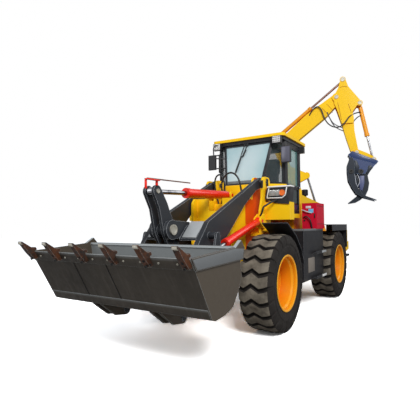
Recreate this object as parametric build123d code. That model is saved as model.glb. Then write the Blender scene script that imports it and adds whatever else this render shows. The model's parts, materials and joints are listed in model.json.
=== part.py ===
"""Articulated backhoe loader with a log grapple on its rear arm, in millimetres.

+X is forward, +Y is the machine's left and +Z is up. The origin is on the ground, under the
vertical steering pin that joins the front frame to the rear frame.
"""

import os
from math import acos, atan2, cos, degrees, dist, radians, sin

from build123d import *

# ---------------------------------------------------------------- driving sizes
RUN = 0.3                 # running and fitting gap between faces that nearly touch
CLEAR = 6.0               # room between pieces that move past each other

HALF_BASE = 1320.0        # steering pin to either axle
TRACK = 1500.0            # between the middles of the left and right tyres
TYRE_R, TYRE_W = 588.0, 410.0
LUG_DEPTH = 34.0
RIM_R, RIM_W = 318.0, 300.0
RIM_LIP = 14.0
AXLE_R = 95.0
HUB_R, FLANGE_R = 90.0, 150.0

RAIL_Z0, RAIL_Z1 = 700.0, 940.0
RAIL_Y0, RAIL_Y1 = 200.0, 260.0
PIN_R = 45.0              # steering pin
LUG_R = 105.0             # steering lugs
LUG_T = 50.0              # steering lug thickness

# front frame and tower
TOWER_X0, TOWER_X1 = 700.0, 1030.0
TOWER_TOP = 1960.0
TOWER_FOOT0, TOWER_FOOT1 = 1310.0, 1140.0   # foot of the outer plates, rear and front
TOWER_IN, TOWER_OUT = 285.0, 465.0     # inner face of the inner plate, outer face of the outer one
PLATE = 30.0
NOSE_X0, NOSE_X1, NOSE_Z = 1425.0, 1540.0, 1645.0   # front wall, tips and top of the tower's nose
NOTCH_HALF, NOTCH_Z = 105.0, 1480.0    # room for the bucket cylinder in the nose's wall
FRONT_X1 = 1700.0
PANEL_Y1 = 818.0                       # outer edge of the lamp panels
PANEL_X0, PANEL_X1 = 700.0, 870.0
PANEL_Z0, PANEL_Z1 = 1362.0, 1600.0
BEZEL = 15.0                           # thickness of the headlamp bezels

# loader arms
ARM_PIVOT = (815.0, 1885.0)
ARM_Y0, ARM_Y1 = 340.0, 400.0
BUCKET_PIN = (2760.0, 420.0)
CRANK_PIVOT = (2510.0, 1245.0)
CRANK_TOP = (2700.0, 1645.0)
CRANK_LOW = (2256.0, 701.0)
LINK_LUG = (2466.0, 590.0)             # link pin on the bucket
CRANK_IN, CRANK_OUT = 42.0, 74.0       # faces of each crank plate
BRACKET_IN, BRACKET_OUT = 80.0, 120.0  # faces of each crank bracket plate
LIFT_DOWN, LIFT_UP = 5.0, 80.0         # degrees either side of rest
DUMP = 85.0                            # degrees of tipping from rest

LIFT_BASE = (1090.0, 1345.0)
LIFT_EYE = (2250.0, 1010.0)
LIFT_Y = 462.0
TILT_BASE = (1080.0, 1710.0)
LIFT_BORE, LIFT_SHAFT, LIFT_BARREL = 48.0, 27.0, 945.0
TILT_BORE, TILT_SHAFT, TILT_BARREL = 56.0, 26.0, 1030.0
TILT_HALF = 38.0

BUCKET_HALF = 983.0
BUCKET_WALL = 22.0
LIP = (3413.0, 1045.0)                 # cutting edge of the bucket
HEEL = (3119.0, 536.0)                 # far end of the flat floor from the edge
BACK = (2686.0, 682.0)                 # where the back plate starts
TOOTH_HALF = 30.0
TOOTH_Y = (-941.0, -565.0, -188.0, 188.0, 565.0, 941.0)

# cab, on the rear frame
CAB_FLOOR, CAB_SILL, CAB_TOP = 1400.0, 1900.0, 2560.0
CAB_REAR, CAB_PILLAR, CAB_SIDE = -330.0, 345.0, 570.0
SCREEN_X0, SCREEN_Y0 = 620.0, 300.0    # foot of the windscreen
SCREEN_X1, SCREEN_Y1 = 455.0, 395.0    # its head
CAB_WALL = 42.0
ROOF_X0, ROOF_X1, ROOF_HALF = -544.0, 502.0, 608.0
ROOF_TOP, ROOF_EDGE = 2650.0, 42.0
GLASS = 6.0
GLASS_IN = 14.0                        # outer face of the wall to the outer face of the pane
DOOR_X0, DOOR_X1 = -275.0, 300.0
DOOR_Z0, DOOR_Z1 = 1465.0, 2530.0
HINGE_X, HINGE_Y, HINGE_R, HINGE_PIN = 302.0, 588.0, 12.0, 6.0
HINGE_Z, HINGE_LENGTH = (1600.0, 2350.0), 60.0

# hood, tanks and fenders
RAIL_END = -HALF_BASE - 800.0
HOOD_X0, HOOD_X1, HOOD_HALF = RAIL_END + 170.0, -345.0, 440.0
HOOD_FRONT_Z, HOOD_REAR_Z, HOOD_FOOT = 1850.0, 1725.0, 1010.0
SHEET = 14.0
HOOD_HINGE = (HOOD_X1 - 10.0, HOOD_FRONT_Z - 8.0)
BOWL_X, BOWL_Y = -1150.0, 380.0        # pre-cleaner bowl on the hood
STACK_X, STACK_Y = -1300.0, -300.0
TANK_X0, TANK_X1, TANK_Y = -HALF_BASE + TYRE_R + 52.0, 345.0, 825.0
TANK_Z0, TANK_Z1 = 450.0, 1225.0
STEP_Y = 885.0                         # outer edge of the side steps
STEP_Z = (458.0, 838.0)
TANK_IN = HOOD_HALF + CLEAR
FENDER_T = 10.0
FENDER_X0, FENDER_X1, FENDER_Z = -HALF_BASE - 580.0, -HALF_BASE + 505.0, 1295.0
FRONT_FENDER_Y0, REAR_FENDER_Y0, FENDER_Y1 = 615.0, 560.0, 955.0

# backhoe: s runs outward along the arm from the swing pin, z is up, w is across
SWING_X = RAIL_END - 310.0
SWING_REST = 75.0                      # degrees from straight back towards the left
BOOM_FOOT = (130.0, 1250.0)
BOOM_TIP = (665.0, 4020.0)
BOOM_HALF = 85.0
BOOM_BASE, BOOM_EYE = (430.0, 900.0), (20.0, 2380.0)
STICK_BASE, STICK_EYE = (-763.0, 3142.0), (800.0, 4390.0)
STICK_HALF = 78.0
HEAD_PIN = (1049.0, 2808.0)
HEAD_HALF = 126.0
DECK_FRONT, DECK_REAR = (880.0, 2776.0), (1462.0, 2590.0)   # top line of the grapple's deck
HEAD_BASE, HEAD_EYE = (1131.0, 3850.0), (1373.0, 2640.0)
BOOM_DOWN, BOOM_UP = 98.0, 3.0
STICK_IN, STICK_OUT = 12.0, 100.0
HEAD_IN, HEAD_OUT = 35.0, 66.0
JAW_A, JAW_B = (926.0, 2400.0), (1118.0, 2392.0)
JAW_OPEN = 50.0
HOE_BORE, HOE_SHAFT = 44.0, 23.0
BOOM_BARREL, STICK_BARREL, HEAD_BARREL = 780.0, 1152.0, 712.0
POST_R = 95.0
POST_Z0, POST_Z1 = 560.0, 1030.0

# stabilisers
LEG_X, LEG_Y = -HALF_BASE - 655.0, 863.0
SLEEVE_HALF = 67.0
SLEEVE_T = 12.0
SLEEVE_Z0, SLEEVE_Z1 = 790.0, 1180.0
FOOT_Z0, FOOT_T = 675.0, 40.0
LEG_DROP = 330.0                       # each of the two stages

EYE_R = 46.0                           # eyes at the ends of every cylinder
EYE_PIN = 22.0
EYE_HALF = 30.0                        # half the width of an eye
SEAT = 24.0                            # least rod left inside its barrel
EAR = 22.0                             # ears that hold a cylinder's base pin
NECK = 68.0                            # base pin to the full thickness of the barrel
GLAND = 60.0
OVERRUN = 20.0                         # bore left beyond the rod's deepest place
# where the head rod's eye strays from its pin
HEAD_DRIFT = ((-50.0, 25.0), (-30.0, 5.0), (42.0, -2.0), (80.0, 8.0))


# ---------------------------------------------------------------- helpers
def box(x0, x1, y0, y1, z0, z1):
    return Pos((x0 + x1) / 2, (y0 + y1) / 2, (z0 + z1) / 2) * Box(x1 - x0, y1 - y0, z1 - z0)


def outline(points, bosses=()):
    """A closed outline in X and Z, with round bosses (x, z, radius) joined to it."""
    face = make_face(Polyline(*points, close=True))
    for x, z, r in bosses:
        face += Pos(x, z) * Circle(r)
    return face


def strap(*circles):
    """The tight outline round circles (x, z, radius)."""
    edges = [(Pos(x, z) * Circle(r)).edge() for x, z, r in circles]
    return make_hull(edges)


def slab(face, y0, y1):
    """An X and Z outline given a thickness from y0 to y1."""
    plane = Plane((0, y1, 0), x_dir=(1, 0, 0), z_dir=(0, -1, 0))
    return extrude(plane * face, y1 - y0)


def pair(face, y0, y1):
    """The same plate on the left and on the right."""
    return slab(face, y0, y1) + slab(face, -y1, -y0)


def bar(start, end, radius):
    """A round bar from one point to another."""
    start, end = Vector(*start), Vector(*end)
    along = end - start
    plane = Plane(start, z_dir=along)
    return plane * Cylinder(radius, along.length, align=(Align.CENTER, Align.CENTER, Align.MIN))


def cross_bar(at, radius, y0, y1):
    """A round bar across the machine at (x, z)."""
    return bar((at[0], y0, at[1]), (at[0], y1, at[1]), radius)


def cross_bar_z(at, radius, z0, z1):
    """An upright round bar at (x, y)."""
    return bar((at[0], at[1], z0), (at[0], at[1], z1), radius)


def both_sides(shape):
    return shape + mirror(shape, about=Plane.XZ)


def turned(point, centre, angle):
    """A point turned about a centre, from X towards Z, in degrees."""
    x, z = point[0] - centre[0], point[1] - centre[1]
    c, s = cos(radians(angle)), sin(radians(angle))
    return (centre[0] + c * x - s * z, centre[1] + s * x + c * z)


def ram(base, eye, near, far, tube, y, bore, shaft, half):
    """Barrel and rod of a cylinder between two pins, for pin distances from near to far.

    The barrel carries its base pin, which reaches through the ears that hold it. Between the
    ears it is narrow, and it is full size from the neck to the tube's end.
    """
    rest = dist(base, eye)
    rod_length = far - tube + SEAT
    lay = Pos(base[0], y, base[1]) * Rot(0, -degrees(atan2(eye[1] - base[1], eye[0] - base[0])), 0)

    def along(x0, x1, radius):
        return bar((x0, 0, 0), (x1, 0, 0), radius)

    barrel = along(EYE_R * 0.6, NECK, half - 4)
    barrel += along(NECK, tube, bore)
    barrel += along(tube - GLAND, tube, bore + 6)
    barrel -= along(near - rod_length - OVERRUN, tube + 1, shaft + RUN)
    barrel += cross_bar((0, 0), EYE_R, -half, half)
    barrel += cross_bar((0, 0), EYE_PIN, -half - EAR - 8, half + EAR + 8)
    rod = along(rest - rod_length, rest - EYE_R * 0.6, shaft)
    rod += cross_bar((rest, 0), EYE_R, -half, half)
    return lay * barrel, lay * rod


def ears(roots, at, y, half):
    """Two ears bored for a base pin, from root circles (x, z, radius) to the pin."""
    face = strap((*at, EYE_R + 6), *roots) - Pos(*at) * Circle(EYE_PIN + RUN)
    inner = half + 1
    return slab(face, y + inner, y + inner + EAR) + slab(face, y - inner - EAR, y - inner)


def reach(base, eye, centre, angles):
    """Shortest and longest pin distance as the eye turns about a centre through the angles."""
    spans = [dist(base, turned(eye, centre, a)) for a in angles]
    return min(spans), max(spans)


def crank_top_at(tip):
    """Where the crank's top pin stands when the bucket has tipped through an angle from rest."""
    arm, link = dist(CRANK_PIVOT, CRANK_LOW), dist(CRANK_LOW, LINK_LUG)
    lug = turned(LINK_LUG, BUCKET_PIN, -tip)
    span = dist(CRANK_PIVOT, lug)
    toward = atan2(lug[1] - CRANK_PIVOT[1], lug[0] - CRANK_PIVOT[0])
    inside = acos((arm ** 2 + span ** 2 - link ** 2) / (2 * arm * span))
    rest = atan2(CRANK_LOW[1] - CRANK_PIVOT[1], CRANK_LOW[0] - CRANK_PIVOT[0])
    return turned(CRANK_TOP, CRANK_PIVOT, degrees(toward - inside - rest))


# ---------------------------------------------------------------- wheels and axles
def tyre():
    """Axle along Y at the origin, lugs as crossing bars round the tread."""
    core_r = TYRE_R - LUG_DEPTH
    half = TYRE_W / 2
    section = make_face(Polyline(
        (-half + 55, RIM_R + RUN), (-half + 22, RIM_R + RUN), (-half, RIM_R + 60), (-half, core_r - 60),
        (-half + 30, core_r), (half - 30, core_r), (half, core_r - 60), (half, RIM_R + 60),
        (half - 22, RIM_R + RUN), (half - 55, RIM_R + RUN), close=True))
    section = Plane((0, 0, 0), x_dir=(0, 1, 0), z_dir=(1, 0, 0)) * section
    body = revolve(section, Axis.Y)
    rings = revolve(Plane((0, 0, 0), x_dir=(0, 1, 0), z_dir=(1, 0, 0)) * make_face(Polyline(
        (-half + 30, core_r - 20), (-half + 30, TYRE_R), (half - 30, TYRE_R), (half - 30, core_r - 20),
        close=True)), Axis.Y)
    return body + rings


def rim():
    """Deep dish rim with its disc towards +Y, axle along Y at the origin."""
    half = RIM_W / 2
    points = [
        (half, RIM_R), (half, RIM_R - RIM_LIP), (half - 20, RIM_R - RIM_LIP - 14),
        (-10, RIM_R - 50), (-60, HUB_R + 50), (-60, HUB_R + RUN), (-82, HUB_R + RUN), (-82, HUB_R + 60),
        (-36, RIM_R - 34), (-half + 20, RIM_R - RIM_LIP - 10), (-half, RIM_R - RIM_LIP), (-half, RIM_R)]
    section = make_face(Polyline(*points, close=True))
    return revolve(Plane((0, 0, 0), x_dir=(0, 1, 0), z_dir=(1, 0, 0)) * section, Axis.Y)


def axle(x):
    """Housing with a round middle, hub flanges and the hubs that carry the rims."""
    z = TYRE_R
    disc_in = TRACK / 2 - 82 - RUN
    shape = bar((x, -disc_in + 30, z), (x, disc_in - 30, z), AXLE_R)
    shape += bar((x, -150, z), (x, 150, z), AXLE_R + 65)
    shape += box(x - 90, x + 90, -RAIL_Y1, RAIL_Y1, z, RAIL_Z0)
    for side in (-1, 1):
        shape += bar((x, side * (disc_in - 40), z), (x, side * disc_in, z), FLANGE_R)
        shape += bar((x, side * disc_in, z), (x, side * (disc_in + 90), z), HUB_R)
    return shape


# ---------------------------------------------------------------- front frame
def front_chassis():
    rails = both_sides(box(220, FRONT_X1, RAIL_Y0, RAIL_Y1, RAIL_Z0, RAIL_Z1))
    shape = rails + box(220, 250, -RAIL_Y1, RAIL_Y1, 480, RAIL_Z1)
    shape += box(FRONT_X1 - PLATE, FRONT_X1, -RAIL_Y1, RAIL_Y1, 560, RAIL_Z1)
    for z in (RAIL_Z1 - LUG_T, 500.0):
        shape += box(0, 250, -LUG_R, LUG_R, z, z + LUG_T)
        shape += Pos(0, 0, z + LUG_T / 2) * Cylinder(LUG_R, LUG_T)
    shape += bar((0, 0, 500), (0, 0, RAIL_Z1), PIN_R)
    return shape


def front_tower():
    """Cross box on the rails, two plates each side, a nose between the arms and the lamp panels."""
    foot_z = RAIL_Z1 + RUN
    in_out = TOWER_IN + PLATE
    shape = box(TOWER_X0, TOWER_X1, -in_out, in_out, foot_z, RAIL_Z1 + 60)
    bosses = [(TOWER_X0 + 70, TOWER_TOP - 70, 70), (TOWER_X0 + 165, TOWER_TOP - 70, 70)]
    top = [(TOWER_X1, 1480), (960, 1670), (935, TOWER_TOP - 70), (TOWER_X0, TOWER_TOP - 70)]
    bore = Pos(*ARM_PIVOT) * Circle(35 + RUN)
    foot = [(TOWER_X0, TOWER_FOOT0), (TOWER_X1, TOWER_FOOT1)]
    crown = strap(*bosses)
    inner = outline([(TOWER_X0, foot_z), (TOWER_X1, foot_z)] + top) + crown - bore
    outer = outline(foot + top) + crown - bore
    shape += pair(inner, TOWER_IN, in_out) + pair(outer, TOWER_OUT - PLATE, TOWER_OUT)
    web = outline(foot + [(TOWER_X1, TOWER_FOOT1 + PLATE), (TOWER_X0, TOWER_FOOT0 + PLATE)])
    shape += pair(web, TOWER_IN, TOWER_OUT)
    wall = outline([(TOWER_X0 + 30, foot_z), (TOWER_X1 - 10, foot_z), (TOWER_X1 - 10, 1440),
                    (TOWER_X1 - 60, 1600), (TOWER_X0 + 30, 1600)])
    hollow = outline([(TOWER_X0 - 50, RAIL_Z1 + 90), (TOWER_X1 - 40, RAIL_Z1 + 90), (TOWER_X1 - 40, 1430),
                      (TOWER_X1 - 82, 1560), (TOWER_X0 - 50, 1560)])
    shape += slab(wall - hollow, -TOWER_IN, TOWER_IN)
    nose = outline([(TOWER_X1 - 30, foot_z), (NOSE_X1 - 40, foot_z), (NOSE_X1, foot_z + 120),
                    (NOSE_X1, NOSE_Z - 60),
                    (NOSE_X1 - 50, NOSE_Z), (TOWER_X1 - 75, NOSE_Z)])
    shape += pair(nose, TOWER_IN, in_out)
    shape += box(NOSE_X0, NOSE_X0 + 12, -TOWER_IN - 1, TOWER_IN + 1, foot_z, NOSE_Z)
    shape -= box(NOSE_X0 - 1, NOSE_X0 + 13, -NOTCH_HALF, NOTCH_HALF, NOTCH_Z, NOSE_Z + 1)
    shape += ears([(850, 1585, 14), (955, 1585, 14)], TILT_BASE, 0, TILT_HALF)
    ear_out = EYE_HALF + 1 + EAR
    shape += both_sides(box(TOWER_X1 - 20, TOWER_X1 + 10, LIFT_Y - ear_out, LIFT_Y + ear_out, 1250, 1440))
    for side in (-1, 1):
        shape += ears([(TOWER_X1, 1425, 10), (TOWER_X1, 1265, 10)], LIFT_BASE, side * LIFT_Y, EYE_HALF)
    # lamp panels, and the brackets that carry the fenders
    shape += both_sides(box(PANEL_X0, PANEL_X1, TOWER_OUT - 1, PANEL_Y1, PANEL_Z0, PANEL_Z1))
    shape += both_sides(box(900, 1000, TOWER_OUT - PLATE, FRONT_FENDER_Y0 - RUN, 1215, 1265))
    return shape


def front_fenders():
    """Bent sheets over the front tyres, from the top to the low rear edge."""
    top = [(HALF_BASE + x, z) for x, z in ((10, 1318), (-300, 1158), (-520, 950), (-608, 775))]
    low = [(HALF_BASE + x, z) for x, z in ((-598, 771), (-512, 943), (-294, 1148), (10, 1307))]
    shell = slab(outline(top + low), FRONT_FENDER_Y0, FENDER_Y1)
    web = outline(top[:2] + [(850, 997), (880, 1275), (1020, 1290)])
    shell += slab(web, FRONT_FENDER_Y0, FRONT_FENDER_Y0 + FENDER_T)
    return both_sides(shell)


def headlamps():
    """Five-sided housings on the lamp panels, each with a bezel in front."""
    rim_points = [(TOWER_OUT + 2, 1650), (610, 1589), (809, 1568), (841, 1820), (496, 1800)]
    front = Plane((0, 0, 0), x_dir=(0, 1, 0), z_dir=(1, 0, 0)) * make_face(Polyline(*rim_points, close=True))
    bezel = extrude(Pos(PANEL_X1 + RUN, 0, 0) * front, BEZEL)
    shell = extrude(Pos(PANEL_X0 + 40, 0, 0) * front, PANEL_X1 - PANEL_X0 - 39)
    shell &= box(PANEL_X0, PANEL_X1 + 5, 475, 830, PANEL_Z1 + RUN, TOWER_TOP)
    clear = extrude(Pos(PANEL_X1 + BEZEL - 8, 0, 0) * offset(front, -22, kind=Kind.INTERSECTION), 20)
    return both_sides(bezel + shell - clear)


# ---------------------------------------------------------------- loader
def lift_arms():
    face = outline(
        [(940, 1924), (2241, 1330), (2430, 1109), (2570, 850), (2650, 665), (2745, 545), (2815, 440),
         (2690, 385), (2330, 760), (2040, 960), (1882, 1119), (1370, 1548), (1019, 1766), (800, 1825)],
        bosses=[(*ARM_PIVOT, 72), (*BUCKET_PIN, 64)])
    shape = pair(face, ARM_Y0, ARM_Y1)
    shape += both_sides(cross_bar(ARM_PIVOT, 35, TOWER_IN - 6, TOWER_OUT + 6))
    shape += both_sides(cross_bar(ARM_PIVOT, 60, TOWER_IN + PLATE + 6, ARM_Y0))
    # crossmember, set back from the sweep of the crank
    cross = outline([(2180, 1130), (2205, 1290), (2255, 1290), (2395, 1150), (2395, 1130)])
    shape += pair(cross, BRACKET_OUT, ARM_Y0)
    bracket = outline([(2180, 1150), (2200, 1330), (2530, 1345), (2560, 1150)], bosses=[(*CRANK_PIVOT, 105)])
    shape += pair(bracket, BRACKET_IN, BRACKET_OUT)
    shape += cross_bar((2215, 1215), 45, -BRACKET_IN, BRACKET_IN)
    shape += cross_bar(CRANK_PIVOT, 34, -BRACKET_OUT - 8, BRACKET_OUT + 8)
    # ears that take the lift rods
    ear_in = LIFT_Y + EYE_HALF + 1
    root = (LIFT_EYE[0] - 20, LIFT_EYE[1] + 170)
    shape += both_sides(slab(strap((*LIFT_EYE, 66), (*root, 40)), ear_in, ear_in + EAR))
    shape += both_sides(cross_bar(root, 38, ARM_Y1, ear_in))
    shape += both_sides(cross_bar(LIFT_EYE, 44, ARM_Y1, LIFT_Y - EYE_HALF - 1))
    # bucket pins
    shape += both_sides(cross_bar(BUCKET_PIN, 36, ARM_Y0 - 46, ARM_Y1 + 46))
    return shape


def bell_crank():
    face = strap((*CRANK_TOP, 62), (2600, 1490, 70)) + strap((2600, 1490, 70), (*CRANK_PIVOT, 100))
    face += strap((*CRANK_PIVOT, 100), (2383, 973, 68)) + strap((2383, 973, 68), (*CRANK_LOW, 58))
    face -= Pos(*CRANK_PIVOT) * Circle(34 + RUN)
    shape = pair(face, CRANK_IN, CRANK_OUT)
    tube = Pos(*CRANK_PIVOT) * (Circle(70) - Circle(34 + RUN))
    shape += slab(tube, -CRANK_IN, CRANK_IN)
    shape += cross_bar(CRANK_LOW, 28, -CRANK_OUT - 6, CRANK_OUT + 6)
    return shape


def bucket_link():
    face = strap((*CRANK_LOW, 52), (*LINK_LUG, 52)) - Pos(*CRANK_LOW) * Circle(28 + RUN)
    return slab(face, -CRANK_IN + 6, CRANK_IN - 6)


def bucket():
    skin = [LIP, HEEL, (3068, 517), (2913, 534), (2770, 581), BACK, (2606, 828), (2650, 1100)]
    outer = outline(skin)
    inner = offset(outer, -BUCKET_WALL, kind=Kind.INTERSECTION)
    shell = slab(outer, -BUCKET_HALF, BUCKET_HALF)
    shell -= slab(inner, -BUCKET_HALF + BUCKET_WALL, BUCKET_HALF - BUCKET_WALL)
    throat = outline([(3404, 1046), (2672, 1099), (2678, 1060), (3384, 1010)])
    shell -= slab(throat, -BUCKET_HALF + BUCKET_WALL, BUCKET_HALF - BUCKET_WALL)
    # side cutters with the raised ear at the back
    side = outline([LIP, (3356, 948), (2594, 976), (2562, 1079), (2633, 1153), (2741, 1089)])
    shell += both_sides(slab(side, BUCKET_HALF - BUCKET_WALL, BUCKET_HALF + 12))
    # hinge plates either side of each arm, pointed below the pin
    hinge = outline([BACK, (2913, 534), (3095, 520), (2905, 380), (2762, 360), (2700, 405), (2655, 560),
                     (2606, 800)], bosses=[(*BUCKET_PIN, 60)])
    hinge -= Pos(*BUCKET_PIN) * Circle(36 + RUN)
    for y0 in (ARM_Y0 - 8 - PLATE, ARM_Y1 + 8):
        shell += pair(hinge, y0, y0 + PLATE)
    # lugs for the link
    lug = strap((*LINK_LUG, 62), (2640, 770, 40), (2720, 620, 30))
    shell += pair(lug, CRANK_IN, CRANK_IN + 26)
    return shell


def teeth():
    """A row of pointed teeth on the lip, tilted out from the plane of the bucket floor."""
    along = (Vector(*LIP) - Vector(*HEEL)).normalized()
    out = Vector(along.Y, -along.X)

    def at(u, v):
        p = Vector(*LIP) + along * u + out * v
        return (p.X, p.Y)

    face = outline([at(-80, RUN), at(-72, 40), at(30, 64), at(153, 80), at(155, 70), at(42, 8), at(30, -26),
                    at(4, -26), at(4, RUN)])
    row = None
    for y in TOOTH_Y:
        tooth = slab(face, y - TOOTH_HALF, y + TOOTH_HALF)
        row = tooth if row is None else row + tooth
    return row


# ---------------------------------------------------------------- rear frame
def rear_chassis():
    shape = both_sides(box(RAIL_END, -180, RAIL_Y0, RAIL_Y1, RAIL_Z0, RAIL_Z1))
    shape += box(-210, -180, -RAIL_Y1, RAIL_Y1, 480, RAIL_Z1)
    shape += box(RAIL_END, RAIL_END + PLATE, -RAIL_Y1, RAIL_Y1, RAIL_Z0, RAIL_Z1)
    for z in (RAIL_Z1 - 2 * LUG_T - CLEAR, 500.0 + LUG_T + CLEAR):
        lug = box(-190, 0, -LUG_R, LUG_R, z, z + LUG_T)
        lug += Pos(0, 0, z + LUG_T / 2) * Cylinder(LUG_R, LUG_T)
        shape += lug - Pos(0, 0, z + LUG_T / 2) * Cylinder(PIN_R + RUN, LUG_T + 2)
    for x in (-600.0, -HALF_BASE - 380):
        shape += box(x - 40, x + 40, -RAIL_Y0, RAIL_Y0, RAIL_Z0, RAIL_Z0 + 100)
    # brackets to the tanks
    for x in (-260.0, -600.0):
        shape += both_sides(box(x - 40, x + 40, RAIL_Y1, TANK_IN - RUN, 760, 860))
    return shape


def cab_mount():
    """Uprights on the rails and the deck that carries the cab over the steering pin."""
    deck_z0, deck_z1 = 1180.0, 1240.0
    shape = box(-345, 300, -RAIL_Y1, RAIL_Y1, deck_z0, deck_z1)
    shape += both_sides(box(-345, -255, RAIL_Y0, RAIL_Y1, RAIL_Z1 + RUN, CAB_FLOOR - RUN))
    shape += both_sides(box(-345, -180, RAIL_Y0, RAIL_Y1, RAIL_Z1 + RUN, deck_z0 + 1))
    return shape + both_sides(box(200, 290, RAIL_Y0 - 60, RAIL_Y1, deck_z1, CAB_FLOOR - RUN))


def side_tanks():
    """Tanks under the doors, each with two steps on its outer face."""
    tank = box(TANK_X0, TANK_X1, TANK_IN, TANK_Y, TANK_Z0, TANK_Z1)
    tank = fillet(tank.edges().filter_by(Axis.X), 25)
    # the inner front corner is cut back from the sweep of the front rails
    corner = make_face(Polyline((TANK_X1 - 210, TANK_IN - 10), (TANK_X1 + 10, TANK_IN - 10),
                                (TANK_X1 + 10, 585),
                                close=True))
    tank -= extrude(Pos(0, 0, TANK_Z0 - 10) * corner, TANK_Z1 - TANK_Z0 + 20)
    for z in STEP_Z:
        tread = box(TANK_X0 + 30, -110, TANK_Y - 5, STEP_Y, z, z + 14)
        tread += box(TANK_X0 + 30, -110, STEP_Y - 8, STEP_Y, z, z + 40)
        tank += tread
    return both_sides(tank)


def tool_box():
    return box(-720, -290, 600, 840, TANK_Z1 + RUN, 1640)


def rear_fenders():
    """Square sheets over and behind the rear tyres, on webs from the hood's sides."""
    shell = box(FENDER_X0, FENDER_X1, REAR_FENDER_Y0, FENDER_Y1, FENDER_Z - FENDER_T, FENDER_Z)
    shell += box(FENDER_X0, FENDER_X0 + FENDER_T, REAR_FENDER_Y0, FENDER_Y1, 860, FENDER_Z)
    shell += box(FENDER_X0, FENDER_X1, FENDER_Y1 - FENDER_T, FENDER_Y1, 1186, FENDER_Z)
    web = box(-HALF_BASE - 180, -HALF_BASE + 200, HOOD_HALF + RUN, REAR_FENDER_Y0 + FENDER_T, 1190, FENDER_Z)
    return both_sides(shell + web)


def cab_plan(z_top, inset):
    """The cab's six-sided plan at its sill, or at its top, shrunk by an inset."""
    x, y = (SCREEN_X1, SCREEN_Y1) if z_top else (SCREEN_X0, SCREEN_Y0)
    corners = [(x, -y), (x, y), (CAB_PILLAR, CAB_SIDE), (CAB_REAR, CAB_SIDE), (CAB_REAR, -CAB_SIDE),
               (CAB_PILLAR, -CAB_SIDE)]
    face = make_face(Polyline(*corners, close=True))
    return offset(face, -inset, kind=Kind.INTERSECTION) if inset else face


def cab_solid(inset):
    """The cab as a block, straight up to the sill and leaning back above it."""
    low = extrude(Pos(0, 0, CAB_FLOOR) * cab_plan(False, inset), CAB_SILL - CAB_FLOOR)
    high = loft([(Pos(0, 0, CAB_SILL) * cab_plan(False, inset)).face(),
                 (Pos(0, 0, CAB_TOP) * cab_plan(True, inset)).face()], ruled=True)
    return low + high


def windows(gap):
    """The openings that hold glass, each shrunk by a gap all round."""
    g = gap
    found = []
    screen = make_face(Polyline((-SCREEN_Y0 + 18 + g, CAB_SILL + 25 + g),
                                (SCREEN_Y0 - 18 - g, CAB_SILL + 25 + g),
                                (SCREEN_Y1 - 18 - g, CAB_TOP - 35 - g),
                                (-SCREEN_Y1 + 18 + g, CAB_TOP - 35 - g),
                                close=True))
    plane = Plane((380, 0, 0), x_dir=(0, 1, 0), z_dir=(1, 0, 0))
    found.append(extrude(plane * screen, 400))
    # quarter panes between the windscreen and the door pillars
    run = Vector(CAB_PILLAR - SCREEN_X0, CAB_SIDE - SCREEN_Y0)
    span = run.length
    quarter = make_face(Polyline((32 + g, CAB_SILL + 25 + g), (span - 45 - g, CAB_SILL + 25 + g),
                                 (span - 45 - g, CAB_TOP - 35 - g), (212 + g, CAB_TOP - 35 - g), close=True))
    toward = run.normalized()
    outward = Vector(toward.Y, -toward.X)
    plane = Plane(Vector(SCREEN_X0, SCREEN_Y0, 0) - Vector(outward.X, outward.Y, 0) * 130,
                  x_dir=(toward.X, toward.Y, 0), z_dir=(outward.X, outward.Y, 0))
    if plane.y_dir.Z < 0:
        plane = Plane(plane.origin, x_dir=plane.x_dir, z_dir=-plane.z_dir)
        pane = extrude(plane * quarter, -260)
    else:
        pane = extrude(plane * quarter, 260)
    found += [pane, mirror(pane, about=Plane.XZ)]
    found.append(box(CAB_REAR - 20, CAB_REAR + 90, -CAB_SIDE + 70 + g, CAB_SIDE - 70 - g,
                     1760 + g, CAB_TOP - 45 - g))
    found.append(box(CAB_REAR + 60 + g, CAB_PILLAR - 50 - g, -CAB_SIDE - 20, -CAB_SIDE + 90,
                     1700 + g, CAB_TOP - 35 - g))
    return found


def cab_shell():
    """Lower body and upper frame of the cab, split at the sill."""
    shell = cab_solid(0) - (Pos(0, 0, 45) * cab_solid(CAB_WALL))
    plan = offset(cab_plan(True, 0), -CAB_WALL, kind=Kind.INTERSECTION)
    shell -= extrude(Pos(0, 0, CAB_TOP - 1) * plan, 30)
    for opening in windows(0):
        shell -= opening
    shell -= box(DOOR_X0, DOOR_X1, CAB_SIDE - 80, CAB_SIDE + 20, DOOR_Z0, DOOR_Z1)
    # knuckles and pins that carry the door
    for z in HINGE_Z:
        for z0 in (z - HINGE_LENGTH / 2 - RUN, z + HINGE_LENGTH + RUN):
            shell += box(DOOR_X1, DOOR_X1 + 18, CAB_SIDE - 10, HINGE_Y, z0, z0 + HINGE_LENGTH / 2)
            shell += cross_bar_z((HINGE_X, HINGE_Y), HINGE_R, z0, z0 + HINGE_LENGTH / 2)
        shell += cross_bar_z((HINGE_X, HINGE_Y), HINGE_PIN, z - 4, z + HINGE_LENGTH + 4)
    reach_x, reach_y = 900.0, 700.0
    base = shell & box(-reach_x, reach_x, -reach_y, reach_y, CAB_FLOOR - 1, CAB_SILL)
    frame = shell & box(-reach_x, reach_x, -reach_y, reach_y, CAB_SILL + RUN, CAB_TOP + 1)
    return base, frame + roof_liner()


def cab_glass():
    """The windscreen, and the fixed panes round the sides and the back."""
    layer = cab_solid(GLASS_IN) - cab_solid(GLASS_IN + GLASS)
    panes = [layer & opening for opening in windows(RUN)]
    joined = panes[1]
    for pane in panes[2:]:
        joined += pane
    return panes[0], joined


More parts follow.
